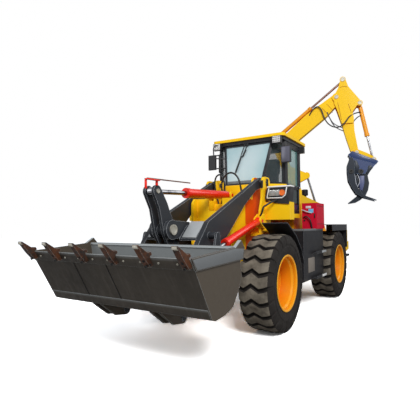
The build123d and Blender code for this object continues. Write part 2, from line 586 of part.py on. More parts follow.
def cab_fittings():
    """Work lamps under the roof's front corners, a lamp on the left rear pillar and the mirrors."""
    shape = both_sides(box(485, 545, 440, 575, 2490, 2598))
    shape += both_sides(box(ROOF_X1 - 60, ROOF_X1 - 5, 490, 525, 2550, CAB_TOP + 40))
    shape += box(CAB_REAR - 15, CAB_REAR + 45, CAB_SIDE - 5, 646, 2460, 2560)
    # left mirror on the door pillar
    shape += box(430, 465, 545, 692, 2205, 2450)
    shape += box(CAB_PILLAR - 24, CAB_PILLAR, CAB_SIDE - 5, CAB_SIDE + 24, 2215, 2295)
    shape += bar((CAB_PILLAR - 12, CAB_SIDE + 14, 2255), (440, 600, 2255), 10)
    # right mirror on two stays from the windscreen pillar
    shape += box(582, 617, -620, -490, 2170, 2405)
    for x, y, z in ((530, -330, 2190), (490, -350, 2350)):
        shape += bar((x, y, z), (600, -500, z), 9)
    return shape - cab_solid(-RUN) - roof_liner(RUN)


def cab_roof():
    top = box(ROOF_X0, ROOF_X1, -ROOF_HALF, ROOF_HALF, ROOF_TOP - ROOF_EDGE, ROOF_TOP)
    return fillet(top.edges().filter_by(Axis.Z), 60)


def roof_liner(gap=0.0):
    """Black band between the cab and the roof panel, grown all round by a gap."""
    inset = 25 - gap
    liner = box(ROOF_X0 + inset, ROOF_X1 - inset, -ROOF_HALF + inset, ROOF_HALF - inset, CAB_TOP - 1 - gap,
                ROOF_TOP - ROOF_EDGE - RUN)
    return fillet(liner.edges().filter_by(Axis.Z), 50 + gap)


def door_leaf():
    gap = CLEAR
    leaf = box(DOOR_X0 + gap, DOOR_X1 - gap, CAB_SIDE - 38, CAB_SIDE - 2, DOOR_Z0 + gap, DOOR_Z1 - gap)
    for z0, z1 in ((DOOR_Z0 + 60, 1850), (1905, DOOR_Z1 - 55)):
        leaf -= box(DOOR_X0 + 55, DOOR_X1 - 55, CAB_SIDE - 60, CAB_SIDE + 20, z0, z1)
    for z in HINGE_Z:
        leaf += box(DOOR_X1 - 40, DOOR_X1 - gap, CAB_SIDE - 20, HINGE_Y + 8, z, z + HINGE_LENGTH)
        leaf += cross_bar_z((HINGE_X, HINGE_Y), HINGE_R, z, z + HINGE_LENGTH)
        leaf -= cross_bar_z((HINGE_X, HINGE_Y), HINGE_PIN + RUN, z - 1, z + HINGE_LENGTH + 1)
    return leaf


def door_glass():
    panes = None
    for z0, z1 in ((DOOR_Z0 + 60, 1850), (1905, DOOR_Z1 - 55)):
        pane = box(DOOR_X0 + 55 + RUN, DOOR_X1 - 55 - RUN, CAB_SIDE - 22, CAB_SIDE - 22 + GLASS,
                   z0 + RUN, z1 - RUN)
        panes = pane if panes is None else panes + pane
    return panes


def seat():
    base = box(-190, 150, -190, 190, CAB_FLOOR + 45 + RUN, 1640)
    cushion = box(-220, 190, -235, 235, 1640, 1770)
    back = slab(outline([(-230, 1770), (-120, 1770), (-190, 2230), (-270, 2230)]), -225, 225)
    return base + cushion + back


def controls():
    column = bar((430, 0, 1700), (322, 0, 1952), 28)
    console = slab(outline([(380, CAB_FLOOR + 45 + RUN), (530, CAB_FLOOR + 45 + RUN), (530, 1840),
                           (430, 1860)]),
                   -190, 190)
    wheel = Pos(325, 0, 1950) * Rot(0, -20, 0) * Torus(175, 14)
    spokes = Pos(325, 0, 1950) * Rot(0, -20, 0) * Box(350, 26, 12)
    return console + column + wheel + spokes


def hood_body():
    side = outline([(HOOD_X0, HOOD_FOOT), (HOOD_X1, HOOD_FOOT), (HOOD_X1, HOOD_FRONT_Z - 70),
                    (HOOD_X0, HOOD_REAR_Z - 70)])
    block = slab(side, -HOOD_HALF, HOOD_HALF)
    inner = outline([(HOOD_X0 + SHEET, HOOD_FOOT - 5), (HOOD_X1 - SHEET, HOOD_FOOT - 5),
                     (HOOD_X1 - SHEET, HOOD_FRONT_Z), (HOOD_X0 + SHEET, HOOD_REAR_Z)])
    block -= slab(inner, -HOOD_HALF + SHEET, HOOD_HALF - SHEET)
    block += both_sides(box(HOOD_X0 + 10, HOOD_X1 - 10, RAIL_Y0, HOOD_HALF - 5, HOOD_FOOT, HOOD_FOOT + SHEET))
    for x in (-HALF_BASE - 350, -670.0):
        block += both_sides(box(x - 30, x + 30, RAIL_Y0, RAIL_Y1, RAIL_Z1 + RUN, HOOD_FOOT + 2))
    for k in range(6):
        z = 1150 + 70 * k
        block -= both_sides(box(-HALF_BASE - 180, -HALF_BASE + 420, HOOD_HALF - SHEET - 2, HOOD_HALF + 2,
                                z, z + 34))
        block -= box(HOOD_X0 - 2, HOOD_X0 + SHEET + 2, -300, 300, z, z + 34)
    return block


def hood_lid():
    x_hinge = HOOD_X1 - 6
    top = outline([(HOOD_X0, HOOD_REAR_Z - 70 + RUN), (x_hinge, HOOD_FRONT_Z - 70 + RUN),
                   (x_hinge, HOOD_FRONT_Z - 20), (x_hinge - 60, HOOD_FRONT_Z), (HOOD_X0 + 70, HOOD_REAR_Z),
                   (HOOD_X0, HOOD_REAR_Z - 40)])
    lid = slab(top, -HOOD_HALF, HOOD_HALF)
    under = outline([(HOOD_X0 + SHEET, HOOD_REAR_Z - 90), (x_hinge - SHEET, HOOD_FRONT_Z - 90),
                     (x_hinge - SHEET, HOOD_FRONT_Z - 36), (x_hinge - 66, HOOD_FRONT_Z - SHEET),
                     (HOOD_X0 + 74, HOOD_REAR_Z - SHEET), (HOOD_X0 + SHEET, HOOD_REAR_Z - 48)])
    lid -= slab(under, -HOOD_HALF + SHEET, HOOD_HALF - SHEET)
    # barrel of the hinge along the front edge
    return lid + cross_bar(HOOD_HINGE, 12, -300, 300)


def hood_stacks():
    """Pre-cleaner bowl and exhaust stack, carried by the lid."""
    slope = (HOOD_FRONT_Z - HOOD_REAR_Z) / (HOOD_X1 - HOOD_X0)

    def lid_z(x):
        return HOOD_FRONT_Z + slope * (x - HOOD_X1) + 8

    bowl = cross_bar_z((BOWL_X, BOWL_Y), 26, lid_z(BOWL_X), 1840)
    bowl += fillet(cross_bar_z((BOWL_X, BOWL_Y), 56, 1828, 1943).edges(), 18)
    return bowl + cross_bar_z((STACK_X, STACK_Y), 36, lid_z(STACK_X), 2160)


def engine_block():
    return box(-HALF_BASE - 320, -HALF_BASE + 560, -RAIL_Y0 + RUN, RAIL_Y0 - RUN, RAIL_Z0 + 100 + RUN, 1600)


# ---------------------------------------------------------------- backhoe
def hoe_mount():
    """Rear plate, swing lugs and the stabiliser sleeves."""
    plate_x0, plate_x1 = RAIL_END - 80, RAIL_END - RUN
    shape = box(plate_x0, plate_x1, -330, 330, 470, 1180)
    for z0, z1 in ((500.0, POST_Z0 - 5), (POST_Z1 + 5, 1090.0)):
        shape += box(SWING_X, plate_x0 + 50, -110, 110, z0, z1)
        shape += Pos(SWING_X, 0, (z0 + z1) / 2) * Cylinder(112, z1 - z0)
    shape += bar((SWING_X, 0, 500), (SWING_X, 0, 1090), 40)
    # cross beam to the stabiliser sleeves, behind the wheels
    beam_z0, beam_z1 = 800.0, 960.0
    shape += box(plate_x0, plate_x1, -LEG_Y, LEG_Y, beam_z0, beam_z1)
    sleeve = sleeve_tube(SLEEVE_HALF, SLEEVE_Z0, SLEEVE_Z1)
    sleeve += box(plate_x1 - 20, LEG_X - SLEEVE_HALF + 2, LEG_Y - SLEEVE_HALF, LEG_Y + SLEEVE_HALF,
                 beam_z0, beam_z1)
    return shape + both_sides(sleeve)


def sleeve_tube(half, z0, z1):
    """A square tube over the left leg's line, closed at the top."""
    inner = half - SLEEVE_T
    tube = box(LEG_X - half, LEG_X + half, LEG_Y - half, LEG_Y + half, z0, z1)
    return tube - box(LEG_X - inner, LEG_X + inner, LEG_Y - inner, LEG_Y + inner, z0 - 10, z1 - SLEEVE_T)


def stabiliser_stages():
    """The left leg's middle tube, and its inner bar with the foot."""
    middle_half = SLEEVE_HALF - SLEEVE_T - RUN
    middle = sleeve_tube(middle_half, SLEEVE_Z0 - 20, SLEEVE_Z1 - SLEEVE_T - CLEAR)
    half = middle_half - SLEEVE_T - RUN
    top = SLEEVE_Z1 - 2 * (SLEEVE_T + CLEAR)
    foot = box(LEG_X - half, LEG_X + half, LEG_Y - half, LEG_Y + half, FOOT_Z0 + FOOT_T - 1, top)
    foot += box(LEG_X - 150, LEG_X + 40, LEG_Y - 80, LEG_Y + 80, FOOT_Z0, FOOT_Z0 + FOOT_T)
    return middle, foot


def swing_post():
    shape = bar((0, 0, POST_Z0), (0, 0, POST_Z1), POST_R)
    shape -= bar((0, 0, POST_Z0 - 5), (0, 0, POST_Z1 + 5), 40 + RUN)
    root = outline([(40, 600), (60, 1026), (122, 1026), (122, 1100), (50, 1150), (60, 1290), (215, 1300),
                    (330, 1010), (300, 700), (180, 600)], bosses=[(*BOOM_FOOT, 96)])
    root -= Pos(*BOOM_FOOT) * Circle(40 + RUN)
    ear = pair(root, BOOM_HALF + CLEAR, BOOM_HALF + CLEAR + 34)
    shape += ear
    shape += slab(outline([(85, 600), (85, 1026), (150, 1026), (200, 960), (200, 640), (170, 600)]),
                  -BOOM_HALF - CLEAR - 2, BOOM_HALF + CLEAR + 2)
    return shape + ears([(205, 860, 16), (205, 680, 16)], BOOM_BASE, 0, EYE_HALF)


def boom():
    face = outline(
        [(30, 1240), (-721, 3032), (-361, 3358), (20, 3695), (247, 3852), (370, 3925), (610, 4085),
         (740, 3990), (666, 3850), (444, 3621), (-81, 3207), (-455, 2912), (225, 1290)],
        bosses=[(*BOOM_FOOT, 108), (*BOOM_TIP, 84)])
    shape = slab(face, -BOOM_HALF, BOOM_HALF)
    shape += cross_bar(BOOM_FOOT, 40, -BOOM_HALF - CLEAR - 44, BOOM_HALF + CLEAR + 44)
    # plates for the boom rod and the stick barrel
    gusset = outline([(-320, 2585), (-20, 2440), (75, 2405), (70, 2325), (-180, 2200)],
                     bosses=[(*BOOM_EYE, 62)])
    shape += pair(gusset, EYE_HALF + 1, EYE_HALF + 1 + EAR)
    horn = outline([(-650, 2980), (-735, 2990), (-815, 3120), (-720, 3100), (-640, 3080)],
                   bosses=[(*STICK_BASE, 54)])
    horn -= Pos(*STICK_BASE) * Circle(EYE_PIN + RUN)
    shape += pair(horn, EYE_HALF + 1, EYE_HALF + 1 + EAR)
    # tip pin, through the stick's cheeks
    shape += cross_bar(BOOM_TIP, 40, -BOOM_HALF - CLEAR - 36, BOOM_HALF + CLEAR + 36)
    return shape


def stick():
    """Box below, two cheeks above that straddle the boom's tip."""
    cheek = outline(
        [(756, 4400), (845, 4420), (909, 4225), (1169, 3864), (1073, 3802), (984, 3676), (1000, 3480),
         (757, 3467), (665, 3769), (620, 3876), (610, 4040), (700, 4203)],
        bosses=[(*STICK_EYE, 60), (*BOOM_TIP, 88), (*HEAD_BASE, 56)])
    cheek -= Pos(*BOOM_TIP) * Circle(40 + RUN)
    cheek -= Pos(*HEAD_BASE) * Circle(EYE_PIN + RUN)
    cheek_y = BOOM_HALF + CLEAR
    shape = pair(cheek, cheek_y, cheek_y + 26)
    box_face = outline([(1005, 3560), (1014, 3280), (1090, 2802), (1000, 2760), (928, 2853), (847, 3127),
                        (748, 3500)],
                       bosses=[(*HEAD_PIN, 60)])
    shape += slab(box_face, -STICK_HALF, STICK_HALF)
    shape += slab(outline([(748, 3500), (730, 3570), (1003, 3600), (1007, 3500), (1000, 3440), (765, 3440)]),
                  -cheek_y - 26, cheek_y + 26)
    shape += cross_bar(HEAD_PIN, 32, -STICK_HALF - CLEAR - 30, STICK_HALF + CLEAR + 30)
    shape += both_sides(cross_bar(STICK_EYE, 38, EYE_HALF + 1, cheek_y))
    shape += both_sides(slab(Pos(*HEAD_BASE) * (Circle(44) - Circle(EYE_PIN + RUN)), EYE_HALF + 1, cheek_y))
    return shape


def grapple_head():
    """Deck along the top and two cheeks below it."""
    deck = outline([DECK_FRONT, DECK_REAR, (1440, 2560), (872, 2750)])
    shape = slab(deck, -HEAD_HALF, HEAD_HALF)
    cheek = outline([(884, 2772), (1455, 2588), (1330, 2440), (1290, 2440), (1268, 2500), (1262, 2450),
                      (1200, 2345),
                     (1090, 2330), (1055, 2370), (985, 2560), (905, 2690)])
    cheek += strap((*JAW_A, 44), (940, 2660, 40), (*JAW_B, 48))
    shape += pair(cheek, HEAD_HALF - 26, HEAD_HALF)
    drift = [(HEAD_EYE[0] + x, HEAD_EYE[1] + z, EYE_R + CLEAR) for x, z in HEAD_DRIFT]
    shape -= slab(strap((*HEAD_EYE, EYE_R + CLEAR), *drift), -EYE_HALF - CLEAR, EYE_HALF + CLEAR)
    shape += cross_bar(JAW_A, 26, -HEAD_HALF - 52, HEAD_HALF + 52)
    return shape + cross_bar(JAW_B, 26, -HEAD_HALF - 2, HEAD_HALF + 2)


def head_bracket():
    """Arched plates that stand on the deck and hold the head pin and the rod's eye."""
    inner = STICK_HALF + CLEAR
    arch = strap((*HEAD_PIN, 62), (1205, 2690, 100), (*HEAD_EYE, 50)) - Pos(*HEAD_PIN) * Circle(32 + RUN)
    shape = pair(arch, inner, inner + 24)
    shape += both_sides(cross_bar(HEAD_EYE, 40, EYE_HALF + CLEAR, inner + 1))
    slope = (DECK_REAR[1] - DECK_FRONT[1]) / (DECK_REAR[0] - DECK_FRONT[0])
    x0, x1, rise = 680.0, 1662.0, 3100.0
    z0, z1 = (DECK_FRONT[1] + slope * (x - DECK_FRONT[0]) + RUN for x in (x0, x1))
    return shape & slab(outline([(x0, z0), (x1, z1), (x1, rise), (x0, rise)]), -HEAD_HALF, HEAD_HALF)


def jaw_outer():
    """Two tines outside the head, pinned on the left side and crossing to the right."""
    face = outline([(905, 2700), (852, 2547), (850, 2400), (866, 2218), (934, 2062), (1013, 1929),
                    (1120, 1862),
                    (1398, 1775), (1400, 1795), (1240, 1862), (1153, 1900), (1060, 2040), (1010, 2140),
                    (991, 2343), (1000, 2539), (965, 2690)])
    face -= Pos(*JAW_A) * Circle(26 + RUN)
    shape = pair(face, HEAD_HALF + CLEAR, HEAD_HALF + CLEAR + 38)
    return shape + cross_bar((925, 2180), 24, -HEAD_HALF - CLEAR, HEAD_HALF + CLEAR)


def jaw_inner():
    """One broad tine inside the head, crossing to the left."""
    face = outline([(1300, 2480), (1324, 2436), (1252, 2310), (1278, 2147), (1255, 2008), (1203, 1891),
                    (1100, 1800),
                    (1009, 1750), (866, 1728), (860, 1745), (1032, 1885), (1110, 2002), (1080, 2310),
                    (1100, 2440),
                    (1180, 2480)])
    face -= Pos(*JAW_B) * Circle(26 + RUN)
    return slab(face, -88, 88)


# ---------------------------------------------------------------- assembly
def parts():
    out = {}
    corners = {"fl": (HALF_BASE, 1), "fr": (HALF_BASE, -1), "rl": (-HALF_BASE, 1), "rr": (-HALF_BASE, -1)}
    one_tyre, one_rim = tyre(), rim()
    for name, (x, side) in corners.items():
        turn = Rot(0, 0, 0) if side > 0 else Rot(0, 0, 180)
        out["tyre_" + name] = Pos(x, side * TRACK / 2, TYRE_R) * turn * one_tyre
        out["rim_" + name] = Pos(x, side * TRACK / 2, TYRE_R) * turn * one_rim
    out["front_chassis"] = front_chassis()
    out["front_tower"] = front_tower()
    out["front_axle"] = axle(HALF_BASE)
    out["front_fenders"] = front_fenders()
    out["headlamps"] = headlamps()
    out["lift_arms"] = lift_arms()
    out["bell_crank"] = bell_crank()
    out["bucket_link"] = bucket_link()
    out["bucket"] = bucket()
    out["bucket_teeth"] = teeth()

    near, far = reach(LIFT_BASE, LIFT_EYE, ARM_PIVOT, range(-int(LIFT_DOWN), int(LIFT_UP) + 1))
    barrel, rod = ram(LIFT_BASE, LIFT_EYE, near, far, LIFT_BARREL, LIFT_Y, LIFT_BORE, LIFT_SHAFT, EYE_HALF)
    out["lift_barrels"], out["lift_rods"] = both_sides(barrel), both_sides(rod)
    near, far = dist(TILT_BASE, crank_top_at(DUMP)), dist(TILT_BASE, CRANK_TOP)
    out["tilt_barrel"], out["tilt_rod"] = ram(TILT_BASE, CRANK_TOP, near, far, TILT_BARREL, 0, TILT_BORE,
                                              TILT_SHAFT, TILT_HALF)

    out["rear_chassis"] = rear_chassis()
    out["rear_axle"] = axle(-HALF_BASE)
    out["cab_mount"] = cab_mount()
    out["side_tanks"] = side_tanks()
    out["tool_box"] = tool_box()
    out["rear_fenders"] = rear_fenders()
    out["cab_base"], out["cab_frame"] = cab_shell()
    out["windscreen"], out["cab_glass"] = cab_glass()
    out["cab_fittings"] = cab_fittings()
    out["cab_roof"] = cab_roof()
    out["door_leaf"] = door_leaf()
    out["door_glass"] = door_glass()
    out["seat"] = seat()
    out["controls"] = controls()
    out["hood_body"] = hood_body()
    out["hood_lid"] = hood_lid()
    out["hood_stacks"] = hood_stacks()
    out["engine_block"] = engine_block()
    out["hoe_mount"] = hoe_mount()
    for stage, shape in zip(("stabiliser_", "foot_"), stabiliser_stages()):
        out[stage + "left"] = shape
        out[stage + "right"] = mirror(shape, about=Plane.XZ)

    arm = Pos(SWING_X, 0, 0) * Rot(0, 0, 180 - SWING_REST)
    hoe = {"swing_post": swing_post(), "boom": boom(), "stick": stick(), "grapple_head": grapple_head(),
           "head_bracket": head_bracket(), "jaw_outer": jaw_outer(), "jaw_inner": jaw_inner()}
    rams = (
        ("boom", BOOM_BASE, BOOM_EYE, BOOM_FOOT, BOOM_DOWN, BOOM_UP, BOOM_BARREL),
        ("stick", STICK_BASE, STICK_EYE, BOOM_TIP, STICK_IN, STICK_OUT, STICK_BARREL),
        ("head", HEAD_BASE, HEAD_EYE, HEAD_PIN, HEAD_IN, HEAD_OUT, HEAD_BARREL),
    )
    for name, base, eye, centre, clockwise, other, tube in rams:
        near, far = reach(base, eye, centre, range(-int(clockwise), int(other) + 1))
        hoe[name + "_barrel"], hoe[name + "_rod"] = ram(base, eye, near, far, tube, 0, HOE_BORE, HOE_SHAFT,
                                                        EYE_HALF)
    for name, shape in hoe.items():
        out[name] = arm * shape
    return out


os.makedirs("parts", exist_ok=True)
for node, shape in parts().items():
    export_step(shape, f"parts/{node}.step")
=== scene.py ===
import json
import math
from contextlib import contextmanager

import bpy
import bmesh
from bpy.props import FloatProperty, FloatVectorProperty, IntProperty, PointerProperty
from mathutils import Matrix, Vector


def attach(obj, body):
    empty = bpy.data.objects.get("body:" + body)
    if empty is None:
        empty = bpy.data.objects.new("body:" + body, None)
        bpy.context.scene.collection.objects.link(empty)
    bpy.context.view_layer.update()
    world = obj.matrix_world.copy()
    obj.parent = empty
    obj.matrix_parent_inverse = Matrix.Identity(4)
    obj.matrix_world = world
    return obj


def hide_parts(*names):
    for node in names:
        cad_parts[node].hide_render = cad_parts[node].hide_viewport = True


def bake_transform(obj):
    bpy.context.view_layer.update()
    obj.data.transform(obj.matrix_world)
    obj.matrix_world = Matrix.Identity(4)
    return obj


bl_info = {
    "name": "Backhoe loader dressing",
    "version": (1, 0, 0),
    "blender": (4, 5, 0),
    "location": "View3D > Sidebar > Loader",
    "description": "Finishes and fine detail for an articulated backhoe loader",
    "category": "Object",
}

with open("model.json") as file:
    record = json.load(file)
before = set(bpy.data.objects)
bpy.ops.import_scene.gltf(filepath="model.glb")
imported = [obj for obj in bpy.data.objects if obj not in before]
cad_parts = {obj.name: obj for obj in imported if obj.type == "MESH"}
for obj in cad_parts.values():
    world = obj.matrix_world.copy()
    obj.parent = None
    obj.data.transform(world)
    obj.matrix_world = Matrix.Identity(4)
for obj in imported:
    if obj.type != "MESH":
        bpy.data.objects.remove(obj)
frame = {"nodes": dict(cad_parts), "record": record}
NODES = frame["nodes"]
TAU = math.tau

HALF_BASE, TRACK_HALF = 1.320, 0.750
CORNERS = (("fl", HALF_BASE, 1), ("fr", HALF_BASE, -1), ("rl", -HALF_BASE, 1), ("rr", -HALF_BASE, -1))
TYRE_R, RIM_SEAT = 0.588, 0.3185
LUG_HEIGHT, LUG_WIDTH = 0.034, 0.122
LUG_SINK, LUG_FLARE = 0.012, 0.022      # how far a lug enters the carcass, and how much wider its foot is
# across the tread: place, lead along the tread, and how far the top falls away at the shoulders
LUG_LINE = ((-0.204, -0.006, 0.075), (-0.178, -0.002, 0.008), (-0.110, 0.026, 0.0), (-0.020, -0.034, 0.0),
            (0.070, 0.022, 0.0), (0.130, 0.008, 0.0), (0.178, -0.010, 0.008), (0.204, -0.016, 0.075))
NUT_COUNT, NUT_CIRCLE = 10, 0.118
TOOTH_Y = (-0.941, -0.565, -0.188, 0.188, 0.565, 0.941)
TANK_SKIN = (0.8245, 0.829)            # across, where a thin piece lies on a tank's side
SWING_X, SWING_REST = -2.430, math.radians(75)


def arm_point(s, w, z):
    """A place on the backhoe, from its reach, its offset to the side and its height."""
    return Vector((SWING_X - math.cos(SWING_REST) * s - math.sin(SWING_REST) * w,
                   math.sin(SWING_REST) * s - math.cos(SWING_REST) * w, z))


def on_hoe(line):
    """A line's places on the backhoe."""
    return [arm_point(s, w, z) for s, w, z in line]


# ---------------------------------------------------------------- user values
def colour_value(name, description, default):
    """A colour that a user may change."""
    return FloatVectorProperty(name=name, description=description, default=default, subtype="COLOR", size=4,
                               min=0, max=1)


class LoaderColours(bpy.types.PropertyGroup):
    yellow: colour_value("Yellow paint", "Body, boom and stick", (1.0, 0.61, 0.004, 1))
    shade_yellow: colour_value("Rim paint", "Wheel rims and hoe cylinders", (0.90, 0.36, 0.012, 1))
    red: colour_value("Red paint", "Loader cylinders", (0.86, 0.018, 0.004, 1))
    crimson: colour_value("Tool box red", "Side box", (0.60, 0.006, 0.03, 1))
    black: colour_value("Black paint", "Fenders, tanks and cab frame", (0.013, 0.013, 0.016, 1))
    arm_grey: colour_value("Arm grey", "Lift arms and crank", (0.028, 0.031, 0.037, 1))
    bucket: colour_value("Bucket", "Bucket skin", (0.052, 0.044, 0.035, 1))
    blue: colour_value("Head blue", "Grapple head", (0.030, 0.055, 0.16, 1))
    tyre: colour_value("Tyre", "Tread and side walls", (0.016, 0.0135, 0.012, 1))
    glass: colour_value("Glass", "Cab glass tint", (0.62, 0.80, 0.82, 1))


class LoaderSizes(bpy.types.PropertyGroup):
    lug_count: IntProperty(name="Lugs", description="Tread bars round each tyre", default=22, min=12, max=40)
    floor: FloatProperty(name="Floor", description="Half the floor's width", default=40.0, min=5,
                         unit="LENGTH")
    floor_white: FloatProperty(name="Floor white", description="How pale the floor looks", default=2.6, min=0,
                               max=4)
    floor_bounce: FloatProperty(name="Floor bounce", description="Light the floor sends back", default=0.35,
                                min=0, max=1)
    sky: FloatProperty(name="Sky", description="Strength of the light from all round", default=0.42, min=0,
                       max=2)


def colours():
    return bpy.context.scene.loader_colours


def sizes():
    return bpy.context.scene.loader_sizes


# ---------------------------------------------------------------- materials
MADE = {}
NOISE_REACH = (0.3, 0.7)               # what a noise's values mostly lie between
SOFT_STEP = 0.01                       # how far a change of colour at a limit is spread


class Recipe:
    """A material's node tree, laid down step by step on Object coordinates."""

    def __init__(self, name):
        self.mat = bpy.data.materials.new(name)
        self.mat.use_nodes = True
        self.tree = self.mat.node_tree
        self.shader = self.tree.nodes["Principled BSDF"]
        self.place = self.tree.nodes.new("ShaderNodeTexCoord").outputs["Object"]

    def add(self, kind, **values):
        node = self.tree.nodes.new(kind)
        for key, value in values.items():
            setattr(node, key, value)
        return node

    def link(self, a, b):
        self.tree.links.new(a, b)

    def noise(self, scale, detail=4.0, rough=0.6, stretch=None):
        node = self.add("ShaderNodeTexNoise")
        node.inputs["Scale"].default_value = scale
        node.inputs["Detail"].default_value = detail
        node.inputs["Roughness"].default_value = rough
        place = self.place
        if stretch:
            mapping = self.add("ShaderNodeMapping")
            mapping.inputs["Scale"].default_value = stretch
            self.link(self.place, mapping.inputs["Vector"])
            place = mapping.outputs["Vector"]
        self.link(place, node.inputs["Vector"])
        return node.outputs["Fac"]

    def ramp(self, source, stops):
        node = self.add("ShaderNodeValToRGB")
        band = node.color_ramp
        while len(band.elements) < len(stops):
            band.elements.new(0.5)
        for element, (at, value) in zip(band.elements, stops):
            element.position = at
            element.color = value if hasattr(value, "__len__") else (value, value, value, 1)
        self.link(source, node.inputs["Fac"])
        return node.outputs["Color"]

    def feed(self, value, socket):
        """Links a socket to another one, or gives it a plain value."""
        if isinstance(value, bpy.types.NodeSocket):
            self.link(value, socket)
        else:
            socket.default_value = value

    def mix(self, factor, first, second):
        node = self.add("ShaderNodeMix", data_type="RGBA")
        for value, socket in ((factor, node.inputs[0]), (first, node.inputs[6]), (second, node.inputs[7])):
            self.feed(value, socket)
        return node.outputs[2]

    def edge(self, radius, low, high):
        """0 on flat places and 1 along sharp edges."""
        bevel = self.add("ShaderNodeBevel", samples=4)
        bevel.inputs["Radius"].default_value = radius
        geometry = self.add("ShaderNodeNewGeometry")
        dot = self.add("ShaderNodeVectorMath", operation="DOT_PRODUCT")
        self.link(bevel.outputs["Normal"], dot.inputs[0])
        self.link(geometry.outputs["Normal"], dot.inputs[1])
        return self.span(dot.outputs["Value"], low, high, 1.0, 0.0)

    def depth(self, distance, low, high):
        """1 in corners that the light hardly reaches and 0 in the open."""
        shade = self.add("ShaderNodeAmbientOcclusion", samples=6)
        shade.inputs["Distance"].default_value = distance
        return self.span(shade.outputs["AO"], low, high, 1.0, 0.0)

    def facing(self, direction, low, high):
        """1 on faces turned a given way and 0 on the others."""
        dot = self.add("ShaderNodeVectorMath", operation="DOT_PRODUCT")
        self.link(self.add("ShaderNodeTexCoord").outputs["Normal"], dot.inputs[0])
        dot.inputs[1].default_value = Vector(direction).normalized()
        return self.span(dot.outputs["Value"], low, high)

    def place_along(self, axis):
        split = self.add("ShaderNodeSeparateXYZ")
        self.link(self.place, split.inputs["Vector"])
        return split.outputs[axis]

    def height(self):
        return self.place_along("Z")

    def across(self):
        """The distance from the machine's middle plane."""
        size = self.add("ShaderNodeMath", operation="ABSOLUTE")
        self.link(self.place_along("Y"), size.inputs[0])
        return size.outputs["Value"]

    def span(self, source, low, high, start=0.0, end=1.0):
        band = self.add("ShaderNodeMapRange", clamp=True)
        for name, value in (("From Min", low), ("From Max", high), ("To Min", start), ("To Max", end)):
            band.inputs[name].default_value = value
        self.link(source, band.inputs["Value"])
        return band.outputs["Result"]

    def times(self, a, b):
        node = self.add("ShaderNodeMath", operation="MULTIPLY")
        self.feed(a, node.inputs[0])
        self.feed(b, node.inputs[1])
        return node.outputs["Value"]

    def roughen(self, source, low, high):
        """Varies the roughness with a noise, between two values."""
        self.set(Roughness=self.span(source, *NOISE_REACH, low, high))

    def bump(self, source, strength, distance):
        node = self.add("ShaderNodeBump")
        node.inputs["Strength"].default_value = strength
        node.inputs["Distance"].default_value = distance
        self.link(source, node.inputs["Height"])
        self.link(node.outputs["Normal"], self.shader.inputs["Normal"])

    def set(self, **values):
        for name, value in values.items():
            self.feed(value, self.shader.inputs[name.replace("_", " ")])


def darker(colour, by):
    return (colour[0] * by, colour[1] * by, colour[2] * by, 1)


def paint(name, colour, rough=0.32, dust=0.12, edge_tone=None, edge_size=0.006, coat=0.3, shade=None,
          gloss=0.4, reach=(0.35, 0.15, 0.65), side_shadow=None):
    """Sprayed machine paint: slight waviness, dust low down, a painted highlight along sharp edges, painted
    shade in corners and, where asked, painted shadow on side faces.

    The colour is one of the user's, by name, or a colour of its own.
    """
    r = Recipe(name)
    base = tuple(getattr(colours(), colour)) if isinstance(colour, str) else (*colour, 1)
    cloud = r.noise(1.7, 3.0, 0.5)
    tone = r.mix(r.ramp(cloud, ((0.35, 0), (0.65, 1))), darker(base, 0.93), base)
    low = r.span(r.height(), 0.3, 1.3, 1.0, 0.15)
    specks = r.ramp(r.noise(9.0, 6.0, 0.7), ((0.45, 0), (0.72, 1)))
    dirty = r.times(r.times(low, specks), dust)
    tone = r.mix(dirty, tone, (0.25, 0.20, 0.14, 1))
    # painted shade: corners that little light reaches take the shade colour
    if shade:
        tone = r.mix(r.depth(*reach), tone, shade)
    # painted shadow: the tower's side faces between two distances across, and behind a place ahead, take the
    # shadow colour where the lift arm's shadow falls
    if side_shadow:
        (inner, outer), ahead, shadow_tone = side_shadow
        shadow_zone = r.times(r.span(r.across(), outer, outer + SOFT_STEP, 1.0, 0.0),
                         r.span(r.across(), inner, inner + SOFT_STEP))
        shadow_zone = r.times(shadow_zone, r.span(r.place_along("X"), ahead, ahead + SOFT_STEP, 1.0, 0.0))
        for way in (1, -1):
            tone = r.mix(r.times(shadow_zone, r.facing((0, way, 0), 0.7, 0.9)), tone, shadow_tone)
    # painted highlight: sharp edges take the lighter edge colour
    if edge_tone:
        tone = r.mix(r.edge(edge_size, 0.80, 0.99), tone, edge_tone)
    r.set(Base_Color=tone, Specular_IOR_Level=gloss)
    r.roughen(r.noise(60.0, 2.0, 0.5), rough - 0.02, rough + 0.04)
    r.set(Coat_Weight=coat, Coat_Roughness=0.12)
    r.bump(r.noise(45.0, 2.0, 0.5), 0.02, 0.001)
    return r.mat


def bucket_steel():
    r = Recipe("bucket_steel")
    base = tuple(colours().bucket)
    cloud = r.ramp(r.noise(1.1, 5.0, 0.6), ((0.3, 0), (0.7, 1)))
    tone = r.mix(cloud, darker(base, 0.75), darker(base, 1.35))
    streak = r.ramp(r.noise(6.0, 5.0, 0.6, (1.0, 4.0, 0.4)), ((0.5, 0), (0.8, 1)))
    tone = r.mix(r.times(streak, 0.35), tone, (0.14, 0.12, 0.10, 1))
    # painted light: faces turned to the machine's left, towards the lamps, are lightened
    tone = r.mix(r.facing((0, 1, 0), 0.6, 0.9), tone, (0.088, 0.072, 0.054, 1))
    # painted light: faces turned forward and up, such as the inside back and the lip top, take a pale grey
    tone = r.mix(r.facing((1, 0, 0.6), 0.55, 0.85), tone, (0.36, 0.39, 0.40, 1))
    tone = r.mix(r.edge(0.007, 0.80, 0.99), tone, (0.30, 0.31, 0.31, 1))
    r.set(Base_Color=tone, Metallic=0.2, Specular_IOR_Level=0.25)
    r.roughen(r.noise(14.0, 5.0, 0.6), 0.42, 0.62)
    r.bump(r.noise(22.0, 6.0, 0.6), 0.12, 0.003)
    return r.mat


